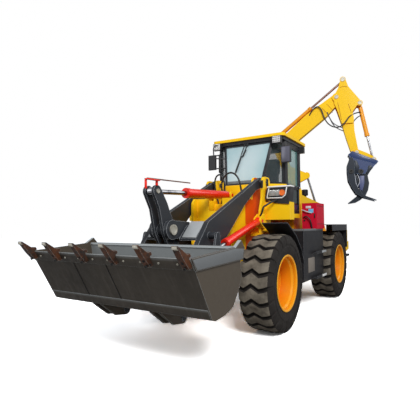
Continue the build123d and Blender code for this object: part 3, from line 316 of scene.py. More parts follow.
def worn_steel():
    r = Recipe("worn_steel")
    rust = r.ramp(r.noise(12.0, 6.0, 0.7), ((0.38, 0), (0.62, 1)))
    tone = r.mix(rust, (0.028, 0.024, 0.022, 1), (0.13, 0.045, 0.018, 1))
    tone = r.mix(r.edge(0.006, 0.75, 0.99), tone, (0.36, 0.33, 0.30, 1))
    r.set(Base_Color=tone, Metallic=0.5)
    r.roughen(r.noise(30.0, 4.0, 0.6), 0.35, 0.7)
    r.bump(r.noise(50.0, 6.0, 0.7), 0.35, 0.003)
    return r.mat


def chrome():
    r = Recipe("chrome")
    band = r.ramp(r.noise(9.0, 1.0, 0.4, (1.0, 1.0, 0.2)), ((0.35, 0.0), (0.62, 1)))
    r.set(Base_Color=r.mix(band, (0.26, 0.26, 0.28, 1), (0.52, 0.52, 0.54, 1)), Metallic=1.0)
    r.roughen(r.noise(80.0, 2.0, 0.5), 0.10, 0.22)
    return r.mat


def dull_rod():
    """The stick cylinder's rod, dark with a film of grease."""
    r = Recipe("dull_rod")
    r.set(Base_Color=r.mix(r.noise(40.0), (0.16, 0.06, 0.04, 1), (0.34, 0.20, 0.16, 1)), Metallic=0.8)
    r.roughen(r.noise(60.0), 0.25, 0.45)
    return r.mat


def tyre_rubber():
    r = Recipe("tyre_rubber")
    base = tuple(colours().tyre)
    dust = r.ramp(r.noise(5.0, 6.0, 0.65), ((0.35, 0), (0.75, 1)))
    tone = r.mix(dust, base, darker(base, 1.9))
    r.set(Base_Color=tone, Specular_IOR_Level=0.2)
    r.roughen(r.noise(25.0, 4.0, 0.6), 0.62, 0.9)
    r.bump(r.noise(70.0, 5.0, 0.6), 0.25, 0.003)
    return r.mat


def screen_glass():
    """The windscreen, pale with the sky's reflection."""
    r = Recipe("screen_glass")
    sheen = r.ramp(r.noise(1.1, 3.0, 0.5, (1.0, 1.0, 0.5)), ((0.38, 0), (0.62, 1)))
    tone = r.mix(sheen, (0.36, 0.56, 0.60, 1), (0.58, 0.71, 0.74, 1))
    r.set(Base_Color=tone, Roughness=0.08, IOR=1.45, Alpha=0.82)
    return r.mat


def cab_glass():
    r = Recipe("cab_glass")
    r.set(Base_Color=darker(tuple(colours().glass), 0.12), Roughness=0.05, IOR=1.45, Alpha=0.32)
    return r.mat


def door_tint():
    r = Recipe("door_tint")
    tone = r.mix(r.span(r.height(), 1.85, 1.95), (0.004, 0.016, 0.015, 1), (0.20, 0.42, 0.40, 1))
    r.set(Base_Color=tone, Roughness=0.07, IOR=1.45, Alpha=r.span(r.height(), 1.85, 1.95, 0.93, 0.40))
    return r.mat


def seat_cloth():
    r = Recipe("seat_cloth")
    weave = r.add("ShaderNodeTexWave", wave_type="BANDS", bands_direction="DIAGONAL")
    weave.inputs["Scale"].default_value = 220.0
    r.link(r.place, weave.inputs["Vector"])
    r.set(Base_Color=r.mix(weave.outputs["Fac"], (0.010, 0.016, 0.040, 1), (0.020, 0.030, 0.070, 1)))
    r.set(Roughness=0.85, Sheen_Weight=0.3)
    r.bump(weave.outputs["Fac"], 0.3, 0.001)
    return r.mat


def moulded_black():
    r = Recipe("moulded_black")
    grain = r.noise(240.0, 3.0, 0.6)
    r.set(Base_Color=r.mix(r.noise(4.0), (0.012, 0.012, 0.014, 1), (0.022, 0.022, 0.025, 1)))
    r.roughen(grain, 0.42, 0.6)
    r.bump(grain, 0.2, 0.001)
    return r.mat


def engine_grey():
    r = Recipe("engine_grey")
    cast = r.noise(90.0, 5.0, 0.7)
    r.set(Base_Color=r.mix(r.noise(6.0), (0.05, 0.052, 0.055, 1), (0.09, 0.09, 0.095, 1)), Metallic=0.3)
    r.roughen(cast, 0.5, 0.8)
    r.bump(cast, 0.4, 0.002)
    return r.mat


def tread_rubber():
    """Tops of the lugs, pale with dust and with painted light from above."""
    r = Recipe("tread_rubber")
    dust = r.ramp(r.noise(7.0, 6.0, 0.65), ((0.30, 0), (0.70, 1)))
    tone = r.mix(dust, (0.070, 0.058, 0.044, 1), (0.22, 0.19, 0.148, 1))
    r.set(Base_Color=tone, Specular_IOR_Level=0.25)
    r.roughen(r.noise(25.0, 4.0, 0.6), 0.62, 0.9)
    r.bump(r.noise(60.0, 5.0, 0.6), 0.3, 0.003)
    return r.mat


def hose_rubber():
    r = Recipe("hose_rubber")
    r.set(Base_Color=r.mix(r.noise(30.0), (0.010, 0.010, 0.011, 1), (0.022, 0.022, 0.024, 1)), Roughness=0.42)
    r.bump(r.noise(160.0, 2.0, 0.5), 0.15, 0.001)
    return r.mat


def worn_bright():
    """Steel rubbed bright."""
    r = Recipe("worn_bright")
    stain = r.ramp(r.noise(18.0, 5.0, 0.6), ((0.35, 0), (0.7, 1)))
    r.set(Base_Color=r.mix(stain, (0.50, 0.48, 0.42, 1), (0.32, 0.29, 0.22, 1)), Metallic=0.4)
    r.roughen(r.noise(40.0, 3.0, 0.6), 0.38, 0.58)
    return r.mat


def plain(name, colour, rough, **more):
    """One even colour, a little clouded."""
    r = Recipe(name)
    base = (*colour, 1)
    r.set(Base_Color=r.mix(r.noise(12.0), darker(base, 0.92), base))
    r.roughen(r.noise(50.0), rough, rough + 0.1)
    r.set(**more)
    return r.mat


# In the paints below, the edge colour is a painted highlight, the shade colour is painted shade in corners,
# and the tower's side colour is painted shadow from the lift arm.
YELLOW = dict(colour="yellow", rough=0.56, dust=0.06, edge_tone=(1.0, 0.66, 0.06, 1), coat=0.04, gloss=0.2)
PAINTS = {
    "yellow_paint": dict(YELLOW, shade=(0.72, 0.10, 0.003, 1)),
    "tower_paint": dict(YELLOW, shade=(0.80, 0.16, 0.003, 1), reach=(0.25, 0.05, 0.45),
                        side_shadow=((0.30, 0.33), 1.185, (0.80, 0.10, 0.003, 1))),
    "black_paint": dict(colour="black", rough=0.42, edge_tone=(0.16, 0.17, 0.19, 1), edge_size=0.005,
                        coat=0.04, gloss=0.22),
    "arm_paint": dict(colour="arm_grey", rough=0.42, dust=0.06, edge_tone=(0.42, 0.44, 0.46, 1),
                      edge_size=0.008, coat=0.04, gloss=0.25),
    "hoe_cylinder_paint": dict(colour="shade_yellow", rough=0.34, dust=0.06, coat=0.1,
                               shade=(0.55, 0.06, 0.003, 1), gloss=0.25),
    "rim_paint": dict(colour=(0.92, 0.36, 0.005), dust=0.06, rough=0.33, edge_tone=(1.0, 0.66, 0.03, 1),
                      edge_size=0.012, coat=0.1, shade=(0.62, 0.06, 0.002, 1), gloss=0.25,
                      reach=(0.4, 0.3, 0.8)),
    "red_paint": dict(colour="red", rough=0.26, dust=0.04, coat=0.35, gloss=0.35),
    "crimson_paint": dict(colour="crimson", rough=0.50, dust=0.04, coat=0.0, gloss=0.12),
    "blue_paint": dict(colour="blue", rough=0.36, dust=0.06, edge_tone=(0.30, 0.40, 0.52, 1), edge_size=0.008,
                       coat=0.1, shade=(0.008, 0.012, 0.03, 1), gloss=0.3),
    "jaw_paint": dict(colour=(0.012, 0.019, 0.032), rough=0.40, dust=0.05, edge_tone=(0.20, 0.25, 0.32, 1),
                      edge_size=0.008, coat=0.05, gloss=0.25),
}
PLAIN = {
    "lamp_clear": dict(colour=(0.55, 0.55, 0.53), rough=0.10, Metallic=0.4, Coat_Weight=0.6),
    "lamp_cell": dict(colour=(0.72, 0.72, 0.72), rough=0.12, Metallic=0.5),
    "lamp_white": dict(colour=(0.80, 0.80, 0.79), rough=0.30),
    "amber": dict(colour=(0.85, 0.16, 0.01), rough=0.15, Coat_Weight=0.6),
    "strip_grey": dict(colour=(0.16, 0.17, 0.175), rough=0.38, Metallic=0.2),
    "mirror_grey": dict(colour=(0.13, 0.13, 0.17), rough=0.18, Metallic=0.3),
    "light_steel": dict(colour=(0.42, 0.44, 0.45), rough=0.35, Metallic=0.2),
    "panel_dusty": dict(colour=(0.22, 0.19, 0.16), rough=0.5),
    "plate_blue": dict(colour=(0.085, 0.105, 0.24), rough=0.38),
    "seam_orange": dict(colour=(0.30, 0.06, 0.003), rough=0.5),
    "seam_black": dict(colour=(0.010, 0.010, 0.010), rough=0.5),
    "hose_grey": dict(colour=(0.10, 0.10, 0.11), rough=0.35, Metallic=0.4),
    "hose_white": dict(colour=(0.55, 0.57, 0.62), rough=0.35),
    "patch_navy": dict(colour=(0.05, 0.03, 0.09), rough=0.3),
    "patch_blue": dict(colour=(0.16, 0.50, 0.78), rough=0.35),
    "patch_white": dict(colour=(0.75, 0.70, 0.72), rough=0.35),
}
SPECIAL = {make.__name__: make for make in (
    bucket_steel, worn_steel, worn_bright, chrome, dull_rod, engine_grey, cab_glass, screen_glass, door_tint,
    tyre_rubber, tread_rubber, hose_rubber, seat_cloth, moulded_black)}
# slots of the frame whose finish has another name
ALIAS = {"dark_grey_paint": "arm_paint", "tyre": "tyre_rubber", "tread": "tread_rubber",
         "seat_fabric": "seat_cloth", "black_plastic": "moulded_black"}


def finish(name):
    """A finish's material, made when it is first asked for."""
    name = ALIAS.get(name, name)
    if name not in MADE:
        if name in PAINTS:
            MADE[name] = paint(name, **PAINTS[name])
        elif name in PLAIN:
            MADE[name] = plain(name, **PLAIN[name])
        else:
            MADE[name] = SPECIAL[name]()
    return MADE[name]


def dress(obj, name):
    """Gives an object one finish."""
    obj.data.materials.clear()
    obj.data.materials.append(finish(name))
    return obj


# ---------------------------------------------------------------- modelling
END_FACE = 0.9                         # how squarely a face must look along a rod to be its end
CUT_SPARE = 0.02                       # how much larger a plate's block is than its outline
LIP_SLOPE, ROD_ROUND = 0.06, 0.25      # of a radius: a sunk cap's wall, and a rod's rounded end
SMOOTH_ANGLE = math.radians(35)


def deselect():
    if bpy.context.object and bpy.context.object.mode != "OBJECT":
        bpy.ops.object.mode_set(mode="OBJECT")
    bpy.ops.object.select_all(action="DESELECT")


def only(obj):
    """Selects one object and makes it active."""
    deselect()
    obj.select_set(True)
    bpy.context.view_layer.objects.active = obj
    return obj


def apply_place(obj):
    """Leaves the object at the origin, with its place in its mesh."""
    only(obj)
    bpy.ops.object.transform_apply(location=True, rotation=True, scale=True)
    return obj


@contextmanager
def editing(obj):
    """Edit mode on one object, with all of it selected."""
    only(obj)
    bpy.ops.object.mode_set(mode="EDIT")
    bpy.ops.mesh.select_all(action="SELECT")
    yield
    bpy.ops.object.mode_set(mode="OBJECT")


def turn_outward(obj):
    """Turns every face outward."""
    with editing(obj):
        bpy.ops.mesh.normals_make_consistent(inside=False)
    return obj


def pick_faces(obj, test):
    """In edit mode, selects the faces whose normal passes a test."""
    bpy.ops.mesh.select_mode(type="FACE")
    bpy.ops.mesh.select_all(action="DESELECT")
    mesh = bmesh.from_edit_mesh(obj.data)
    for face in mesh.faces:
        face.select_set(test(face.normal))
    mesh.select_flush_mode()
    bmesh.update_edit_mesh(obj.data)


def pick_edges(obj, test):
    """In edit mode, selects the edges whose middle passes a test."""
    bpy.ops.mesh.select_mode(type="EDGE")
    bpy.ops.mesh.select_all(action="DESELECT")
    mesh = bmesh.from_edit_mesh(obj.data)
    for edge in mesh.edges:
        if test((edge.verts[0].co + edge.verts[1].co) / 2):
            edge.select_set(True)
    mesh.select_flush_mode()
    bmesh.update_edit_mesh(obj.data)


def soften(obj, width):
    """Rounds every edge of an object."""
    with editing(obj):
        bpy.ops.mesh.bevel(offset=width, segments=2, affect="EDGES")
    return obj


def block(low, high, width=0.003, turn=(0, 0, 0)):
    """A box with rounded edges between two corners, turned about its middle."""
    deselect()
    low, high = Vector(low), Vector(high)
    bpy.ops.mesh.primitive_cube_add(size=1, location=(low + high) / 2, rotation=turn)
    obj = bpy.context.object
    obj.scale = high - low
    apply_place(obj)
    return soften(obj, width)


def cut_away(obj, point, normal):
    """Cuts off what lies on the side that the normal points to, and closes the cut."""
    with editing(obj):
        bpy.ops.mesh.bisect(plane_co=point, plane_no=normal, use_fill=True, clear_outer=True)
    return obj


def plate(corners, across, low, high, width=0.002):
    """A convex plate: its corners in the plane across an axis, cut from a block one side at a time."""
    deselect()
    axis = "XYZ".index(across)
    flat = [i for i in range(3) if i != axis]
    us, vs = [c[0] for c in corners], [c[1] for c in corners]
    middle = [0.0] * 3
    size = [0.0] * 3
    for i, values in zip(flat, (us, vs)):
        middle[i] = (min(values) + max(values)) / 2
        size[i] = max(values) - min(values) + CUT_SPARE
    middle[axis], size[axis] = (low + high) / 2, high - low
    bpy.ops.mesh.primitive_cube_add(size=1, location=middle)
    obj = bpy.context.object
    obj.scale = size
    apply_place(obj)
    centre = (sum(us) / len(us), sum(vs) / len(vs))
    for (u0, v0), (u1, v1) in zip(corners, corners[1:] + corners[:1]):
        out = Vector((v1 - v0, u0 - u1)).normalized()
        if out.dot(Vector(centre) - Vector((u0, v0))) > 0:
            out = -out
        point, normal = [0.0] * 3, [0.0] * 3
        point[flat[0]], point[flat[1]] = u0, v0
        normal[flat[0]], normal[flat[1]] = out
        cut_away(obj, point, normal)
    return soften(obj, width) if width else obj


def disc(middle, along, radius, depth, sides=24, lip=0.25, sink=0.3):
    """A round cap with a sunk middle on each end."""
    deselect()
    along = Vector(along).normalized()
    turn = along.to_track_quat("Z", "Y").to_euler()
    bpy.ops.mesh.primitive_cylinder_add(vertices=sides, radius=radius, depth=depth, location=middle,
                                        rotation=turn)
    obj = apply_place(bpy.context.object)
    with editing(obj):
        pick_faces(obj, lambda normal: abs(normal.dot(along)) > END_FACE)
        bpy.ops.mesh.inset(thickness=radius * lip, depth=0)
        bpy.ops.mesh.inset(thickness=radius * LIP_SLOPE, depth=-depth * sink)
    return obj


def rod(start, end, radius, sides=16):
    """A round rod with rounded ends."""
    deselect()
    start, end = Vector(start), Vector(end)
    turn = (end - start).to_track_quat("Z", "Y").to_euler()
    bpy.ops.mesh.primitive_cylinder_add(vertices=sides, radius=radius, depth=(end - start).length,
                                        location=(start + end) / 2, rotation=turn)
    obj = apply_place(bpy.context.object)
    along = (end - start).normalized()
    with editing(obj):
        pick_faces(obj, lambda normal: abs(normal.dot(along)) > END_FACE)
        bpy.ops.mesh.bevel(offset=radius * ROD_ROUND, segments=2, affect="EDGES")
    return obj


def join(objects):
    """Makes one object of several, named after the first."""
    deselect()
    for obj in objects:
        obj.select_set(True)
    bpy.context.view_layer.objects.active = objects[0]
    if len(objects) > 1:
        bpy.ops.object.join()
    return bpy.context.object


def other_side(obj):
    """The same piece on the machine's other side, as a mesh of its own."""
    only(obj)
    bpy.ops.object.duplicate(linked=False)
    twin = bpy.context.object
    twin.scale = (1, -1, 1)
    return turn_outward(apply_place(twin))


def fit(obj, name, body, look, slot, *stands_for):
    """Names a finished piece, gives it its finish and sets it on its body."""
    obj.name = name
    obj.data.name = name
    if look:
        dress(obj, look)
    only(obj)
    bpy.ops.object.shade_smooth_by_angle(angle=SMOOTH_ANGLE)
    deselect()
    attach(obj, body)
    if stands_for:
        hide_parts(*stands_for)
    return obj


def fit_both(obj, name, body, look, slot):
    """Fits a left piece, and the same piece on the machine's other side."""
    fit(obj, name + "_left", body, look, slot)
    fit(other_side(obj), name + "_right", body, look, slot)


def hose(name, body, points, radius, look="hose_rubber", across=None):
    """A hose along control points, fixed at both ends.

    Across holds the body beyond the joint that it passes, and the two ends of its bend; these are not used: a
    hose given them is made a mesh and set on no body.
    """
    deselect()
    data = bpy.data.curves.new(name, "CURVE")
    data.dimensions = "3D"
    line = data.splines.new("NURBS")
    line.points.add(len(points) - 1)
    for knot, place in zip(line.points, points):
        knot.co = (*place, 1)
    line.order_u = 3
    line.use_endpoint_u = True
    obj = bpy.data.objects.new(name, data)
    bpy.context.scene.collection.objects.link(obj)
    data.resolution_u = 10
    mesh = bpy.data.meshes.new_from_object(obj)
    bpy.data.meshes.remove(mesh)
    data.bevel_depth = radius
    data.bevel_resolution = 3
    data.use_fill_caps = True
    data.materials.append(finish(look))
    if across:
        only(obj)
        bpy.ops.object.convert(target="MESH")
        bpy.ops.object.shade_smooth_by_angle(angle=math.radians(40))
    if across:
        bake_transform(obj)
    else:
        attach(obj, body)
    return obj


def on_arm(obj):
    """Turns a piece built with its reach along X and its side along Y into the backhoe's plane."""
    only(obj)
    obj.rotation_euler = (0, 0, math.pi - SWING_REST)
    obj.location = (SWING_X, 0, 0)
    return apply_place(obj)


def bar_line(places, radius, sides=12):
    """Rods end to end along a line of places."""
    return join([rod(a, b, radius, sides) for a, b in zip(places, places[1:])])


class LOADER_OT_camera(bpy.types.Operator):
    """Place the camera at the machine's left front corner."""
    bl_idname = "loader.camera"
    bl_label = "Camera"

    def execute(self, context):
        data = bpy.data.cameras.new("view")
        data.sensor_width = 36.0
        data.lens = 32.12
        data.clip_end = 200.0
        camera = bpy.data.objects.new("view", data)
        context.scene.collection.objects.link(camera)
        yaw, pitch, roll = math.radians(32.01), math.radians(2.38), math.radians(-0.38)
        ahead = Vector((-math.cos(yaw) * math.cos(pitch), -math.sin(yaw) * math.cos(pitch), math.sin(pitch)))
        turn = ahead.to_track_quat("-Z", "Y").to_matrix().to_4x4()
        camera.matrix_world = Matrix.Translation((5.670, 2.562, 1.287)) @ turn @ Matrix.Rotation(roll, 4, "Z")
        context.scene.camera = camera
        return {"FINISHED"}


class LOADER_OT_finishes(bpy.types.Operator):
    """Give every solid of the frame its finish."""
    bl_idname = "loader.finishes"
    bl_label = "Finishes"

    def execute(self, context):
        own = {"tool_box": "crimson_paint", "stick_rod": "dull_rod", "door_glass": "door_tint",
               "windscreen": "screen_glass", "jaw_outer": "jaw_paint", "jaw_inner": "jaw_paint",
               "front_tower": "tower_paint"}
        for part in frame["record"]["subparts"]:
            node = NODES[part["node"]]
            dress(node, own.get(part["node"], part["material_slot"]))
        return {"FINISHED"}


def turned(profile, x, side, steps=72):
    """A ring spun round a wheel's axle from a closed outline of places across and radii."""
    deselect()
    bpy.ops.mesh.primitive_circle_add(vertices=len(profile), radius=0.1, fill_type="NOTHING")
    ring = apply_place(bpy.context.object)
    for knot, (y, r) in zip(ring.data.vertices, profile):
        knot.co = (x, side * (TRACK_HALF + y), TYRE_R + r)
    with editing(ring):
        bpy.ops.mesh.spin(steps=steps, angle=TAU, center=(x, side * TRACK_HALF, TYRE_R), axis=(0, 1, 0))
        bpy.ops.mesh.select_all(action="SELECT")
        bpy.ops.mesh.remove_doubles(threshold=0.0002)
        bpy.ops.mesh.normals_make_consistent(inside=False)
    return ring


def lug_on(x, side, core):
    """One zigzag lug: a strip across the tread, bent to the tyre and sunk a little into the carcass."""
    axis = Vector((x, side * TRACK_HALF, TYRE_R))
    rows = len(LUG_LINE) - 1
    deselect()
    bpy.ops.mesh.primitive_grid_add(x_subdivisions=2, y_subdivisions=rows, size=1)
    lug = apply_place(bpy.context.object)
    with editing(lug):
        bpy.ops.mesh.extrude_region_move(TRANSFORM_OT_translate={"value": (0, 0, 1)})
        bpy.ops.mesh.select_all(action="SELECT")
        bpy.ops.mesh.normals_make_consistent(inside=False)
    for knot in lug.data.vertices:
        y, lead, drop = LUG_LINE[round((knot.co.y + 0.5) * rows)]
        top = knot.co.z > 0.5
        radius = (TYRE_R if top else core - LUG_SINK) - drop
        width = LUG_WIDTH if top else LUG_WIDTH + LUG_FLARE
        angle = (knot.co.x * width + lead) / TYRE_R
        knot.co = axis + Vector((radius * math.sin(angle), side * y, radius * math.cos(angle)))
    if side < 0:
        turn_outward(lug)
    lug.data.materials.append(finish("tread"))
    lug.data.materials.append(finish("tyre"))
    # outward faces take the pale tread finish and the lug sides the dark tyre finish: dust and painted light
    # on the tops, painted shade on the sides
    for face in lug.data.polygons:
        radial = (face.center - axis).xz.normalized()
        face.material_index = 0 if face.normal.xz.dot(radial) > 0.8 else 1
    return lug


def tyre_on(x, side):
    """A treaded tyre: a spun carcass with one lug copied round it."""
    axis = Vector((x, side * TRACK_HALF, TYRE_R))
    core = TYRE_R - LUG_HEIGHT
    wall = [(0.150, RIM_SEAT), (0.183, RIM_SEAT + 0.004), (0.190, 0.345), (0.186, 0.352), (0.204, 0.395),
            (0.2045, 0.440), (0.200, 0.446), (0.198, core - 0.045), (0.170, core)]
    carcass = turned([(-y, r) for y, r in wall] + wall[::-1], x, side)
    dress(carcass, "tyre")
    count = sizes().lug_count
    lug = lug_on(x, side, core)
    with editing(lug):
        pick_edges(lug, lambda middle: (middle - axis).xz.length > TYRE_R - 0.03)
        bpy.ops.mesh.bevel(offset=0.004, segments=1, affect="EDGES")
        bpy.ops.mesh.select_all(action="SELECT")
        for _ in range(1, count):
            bpy.ops.mesh.duplicate()
            bpy.ops.transform.rotate(value=TAU / count, orient_axis="Y", center_override=axis)
    return join([carcass, lug])


class LOADER_OT_tyres(bpy.types.Operator):
    """Spin the four tyres and set zigzag lugs round their treads."""
    bl_idname = "loader.tyres"
    bl_label = "Tyres"

    def execute(self, context):
        for corner, x, side in CORNERS:
            tyre = tyre_on(x, side)
            fit(tyre, "treaded_tyre_" + corner, "wheel_" + corner, None, "tyre", "tyre_" + corner)
        return {"FINISHED"}


class LOADER_OT_hubs(bpy.types.Operator):
    """Ring the hubs with nuts and seat the bead of each rim."""
    bl_idname = "loader.hubs"
    bl_label = "Hubs"

    def execute(self, context):
        for corner, x, side in CORNERS:
            nuts = []
            for k in range(NUT_COUNT):
                angle = TAU * k / NUT_COUNT
                place = (x + NUT_CIRCLE * math.sin(angle), side * (TRACK_HALF - 0.052),
                         TYRE_R + NUT_CIRCLE * math.cos(angle))
                nuts.append(disc(place, (0, side, 0), 0.015, 0.026, 6, 0.2, 0.1))
            fit(join(nuts), "hub_nuts_" + corner, "wheel_" + corner, "chrome", "rim_paint")
            profile = ((0.1505, -0.0035), (0.172, -0.0035), (0.190, -0.001), (0.1945, 0.006), (0.1965, 0.015),
                       (0.1950, 0.021), (0.1890, 0.022), (0.1860, 0.012), (0.172, -0.0005), (0.1505, -0.0005))
            lip = turned([(y_out, RIM_SEAT + rise) for y_out, rise in profile], x, side)
            fit(lip, "rim_lip_" + corner, "wheel_" + corner, "rim_paint", "rim_paint")
        return {"FINISHED"}


class LOADER_OT_bucket_trim(bpy.types.Operator):
    """Lay the cutting edge, wear strip, seams and side strips on the bucket."""
    bl_idname = "loader.bucket_trim"
    bl_label = "Bucket trim"

    def execute(self, context):
        along = Vector((0.294, 0, 0.509)).normalized()
        out = Vector((along.z, 0, -along.x))
        lip = Vector((3.413, 0, 1.045))
        tilt = (0, math.atan2(along.x, along.z), 0)

        def strip(u0, u1, y0, y1, thick, width=0.002):
            middle = lip + along * (u0 + u1) / 2 + out * thick / 2 + Vector((0, (y0 + y1) / 2, 0))
            half = Vector((thick / 2, (y1 - y0) / 2, (u1 - u0) / 2))
            return block(middle - half, middle + half, width, tilt)

        edge = strip(-0.105, -0.001, -0.982, 0.982, 0.006)
        fit(edge, "cutting_edge", "bucket", "bucket_steel", "bucket_steel")
        wear = strip(-0.585, -0.488, -0.975, 0.975, 0.004)
        fit(wear, "wear_strip", "bucket", "bucket_steel", "bucket_steel")
        seams = join([strip(-0.487, -0.106, y - 0.0025, y + 0.0025, 0.005, 0.001) for y in (-0.395, 0.036)])
        fit(seams, "floor_seams", "bucket", "seam_black", "bucket_steel")
        bolts = []
        for y in TOOTH_Y:
            for v in (-0.095, 0.095):
                if abs(y + v) < 0.96:
                    place = lip + along * -0.052 + out * 0.006 + Vector((0, y + v, 0))
                    bolts.append(disc(place, out, 0.009, 0.010, 12, 0.3, 0.2))
        fit(join(bolts), "edge_bolts", "bucket", "worn_bright", "worn_steel")
        side = plate([(3.404, 1.036), (3.350, 0.955), (2.606, 0.984), (2.585, 1.074), (2.742, 1.083)], "Y",
                     0.9945, 0.998, 0.001)
        fit_both(side, "side_strip", "bucket", "strip_grey", "bucket_steel")
        tips, straps = [], []
        for y in TOOTH_Y:
            place = lip + along * 0.147 + out * 0.0755
            corners = [(place.x + dx, place.z + dz) for dx, dz in ((-0.012, -0.024), (0.010, -0.016),
                                                                   (0.008, 0.006), (-0.004, 0.003))]
            tips.append(plate(corners, "Y", y - 0.022, y + 0.022, 0.001))
            strap = lip + along * -0.028 + out * 0.053 + Vector((0, y, 0))
            for shift in (-0.030, 0.022):
                straps.append(disc(strap + along * shift, out, 0.011, 0.014, 12, 0.3, 0.3))
        fit(join(tips), "tooth_tips", "bucket", "worn_bright", "worn_steel")
        fit(join(straps), "tooth_bolts", "bucket", "seam_black", "worn_steel")
        return {"FINISHED"}


class LOADER_OT_lights(bpy.types.Operator):
    """Glaze the headlamps and the work lamps."""
    bl_idname = "loader.lights"
    bl_label = "Lights"

    def execute(self, context):
        outline = ((0.528, 1.792), (0.499, 1.658), (0.718, 1.655), (0.763, 1.692), (0.785, 1.797))
        frame_face = bar_line([(0.887, y, z) for y, z in outline], 0.0085)
        # a white strip along each headlamp's top: painted highlight
        caps = plate([(0.742, 1.801), (0.886, 1.801), (0.886, 1.822), (0.742, 1.822)], "Y", 0.500, 0.842,
                     0.004)
        ribs = [rod((0.8845, y, 1.686), (0.8845, y, 1.765), 0.0078, 10)
                for y in (0.541 + 0.0187 * k for k in range(8))]
        turn_lamp = disc((0.884, 0.7175, 1.7255), (1, 0, 0), 0.040, 0.012, 24, 0.2, 0.3)
        pieces = ((frame_face, "lamp_frame", "lamp_white"), (caps, "lamp_cap", "lamp_white"),
                  (join(ribs), "lamp_lens", "lamp_clear"), (turn_lamp, "turn_lamp", "amber"))
        for obj, name, look in pieces:
            fit_both(obj, name, "front_frame", look, "black_plastic")
        pane = block((0.5445, 0.449, 2.498), (0.548, 0.566, 2.590), 0.001)
        cells = join([disc((0.549, 0.4645 + 0.0287 * col, 2.5145 + 0.0295 * row), (1, 0, 0), 0.0115, 0.006,
                           16, 0.25, 0.5) for row in range(3) for col in range(4)])
        fit_both(pane, "work_lamp_pane", "rear_frame", "lamp_white", "black_plastic")
        fit_both(cells, "work_lamp_cells", "rear_frame", "lamp_cell", "black_plastic")
        return {"FINISHED"}


class LOADER_OT_cab_trim(bpy.types.Operator):
    """Fit the wipers, mirror faces, sill strip, handle and door trim."""
    bl_idname = "loader.cab_trim"
    bl_label = "Cab trim"

    def execute(self, context):
        def on_screen(y, z, off=0.0):
            return Vector((0.62 - 0.25 * (z - 1.9) + 0.970 * off, y, z + 0.2425 * off))

        arms = []
        for top, tip in (((-0.033, 2.540), (-0.160, 2.100)), ((0.012, 2.530), (-0.066, 2.350))):
            a, b = on_screen(*top, 0.020), on_screen(*tip, 0.008)
            elbow = a.lerp(b, 0.35)
            arms.append(rod(a, elbow, 0.008, 10))
            arms.append(rod(elbow, b, 0.0055, 10))
            blade = a.lerp(b, 0.42)
            arms.append(rod(blade + Vector((-0.004, 0.012, 0)), b + Vector((0, 0.012, 0)), 0.010, 8))
            arms.append(disc(a, (0.97, 0, 0.2425), 0.018, 0.024, 16))
        fit(join(arms), "wipers", "rear_frame", "black_plastic", "black_plastic")
        strip = block((0.594, -0.285, 1.932), (0.602, 0.285, 1.966), 0.001, (0, -0.245, 0))
        fit(strip, "screen_strip", "rear_frame", "strip_grey", "black_plastic")
        glass = block((0.4645, 0.556, 2.216), (0.4685, 0.681, 2.440), 0.002)
        fit(glass, "mirror_face", "rear_frame", "mirror_grey", "black_plastic")
        stays = join([bar_line([(0.55, y, z) for y, z in line], 0.0095, 10) for line in (
            ((-0.560, 2.390), (-0.567, 2.522), (-0.529, 2.570), (-0.480, 2.560)),
            ((-0.520, 2.405), (-0.456, 2.407), (-0.411, 2.441)),
            ((-0.458, 2.407), (-0.458, 2.126), (-0.370, 2.169)))])
        fit(stays, "mirror_stays", "rear_frame", "black_plastic", "black_plastic")
        back = block((-0.305, -0.215, 2.120), (-0.205, 0.245, 2.400), 0.060)
        fit(back, "seat_headrest", "rear_frame", "seat_fabric", "seat_fabric")
        handle = join([block((0.205, 0.570, 1.865), (0.240, 0.592, 1.915), 0.004),
                       block((-0.262, 0.570, 1.865), (-0.228, 0.590, 1.905), 0.004)])
        fit(handle, "door_catches", "cab_door", "chrome", "chrome")
        rail = block((-0.214, 0.5475, 1.852), (0.239, 0.5665, 1.902), 0.003)
        fit(rail, "door_rail", "cab_door", "black_plastic", "black_plastic")
        patch = block((-0.212, 0.5538, 1.530), (0.236, 0.5562, 1.610), 0.0008)
        fit(patch, "door_patch", "cab_door", "patch_navy", "black_plastic")
        return {"FINISHED"}


class LOADER_OT_tower_trim(bpy.types.Operator):
    """Fit the pin keepers, grab handles and ear plates on the tower."""
    bl_idname = "loader.tower_trim"
    bl_label = "Tower trim"

    def execute(self, context):
        keeper = join([block((0.785, 0.4715, 1.835), (0.845, 0.480, 1.935), 0.003),
                       disc((0.815, 0.482, 1.912), (0, 1, 0), 0.012, 0.012, 6),
                       disc((0.815, 0.482, 1.858), (0, 1, 0), 0.012, 0.012, 6)])
        fit_both(keeper, "pin_keeper", "front_frame", "black_plastic", "black_plastic")
        slot_plate = join([block((0.934, 0.430, 1.745), (0.946, 0.465, 1.905), 0.003),
                           disc((0.944, 0.4495, 1.870), (1, 0, 0), 0.008, 0.01, 6),
                           disc((0.944, 0.4495, 1.780), (1, 0, 0), 0.008, 0.01, 6)])
        grab = bar_line([(0.893, 0.640, 1.628), (0.980, 0.585, 1.590), (1.044, 0.512, 1.531),
                         (1.044, 0.490, 1.451), (1.036, 0.462, 1.412)], 0.013)
        fit_both(grab, "grab_handle", "front_frame", "black_plastic", "black_plastic")
        fit_both(slot_plate, "ear_plate", "front_frame", "seam_black", "black_plastic")
        return {"FINISHED"}


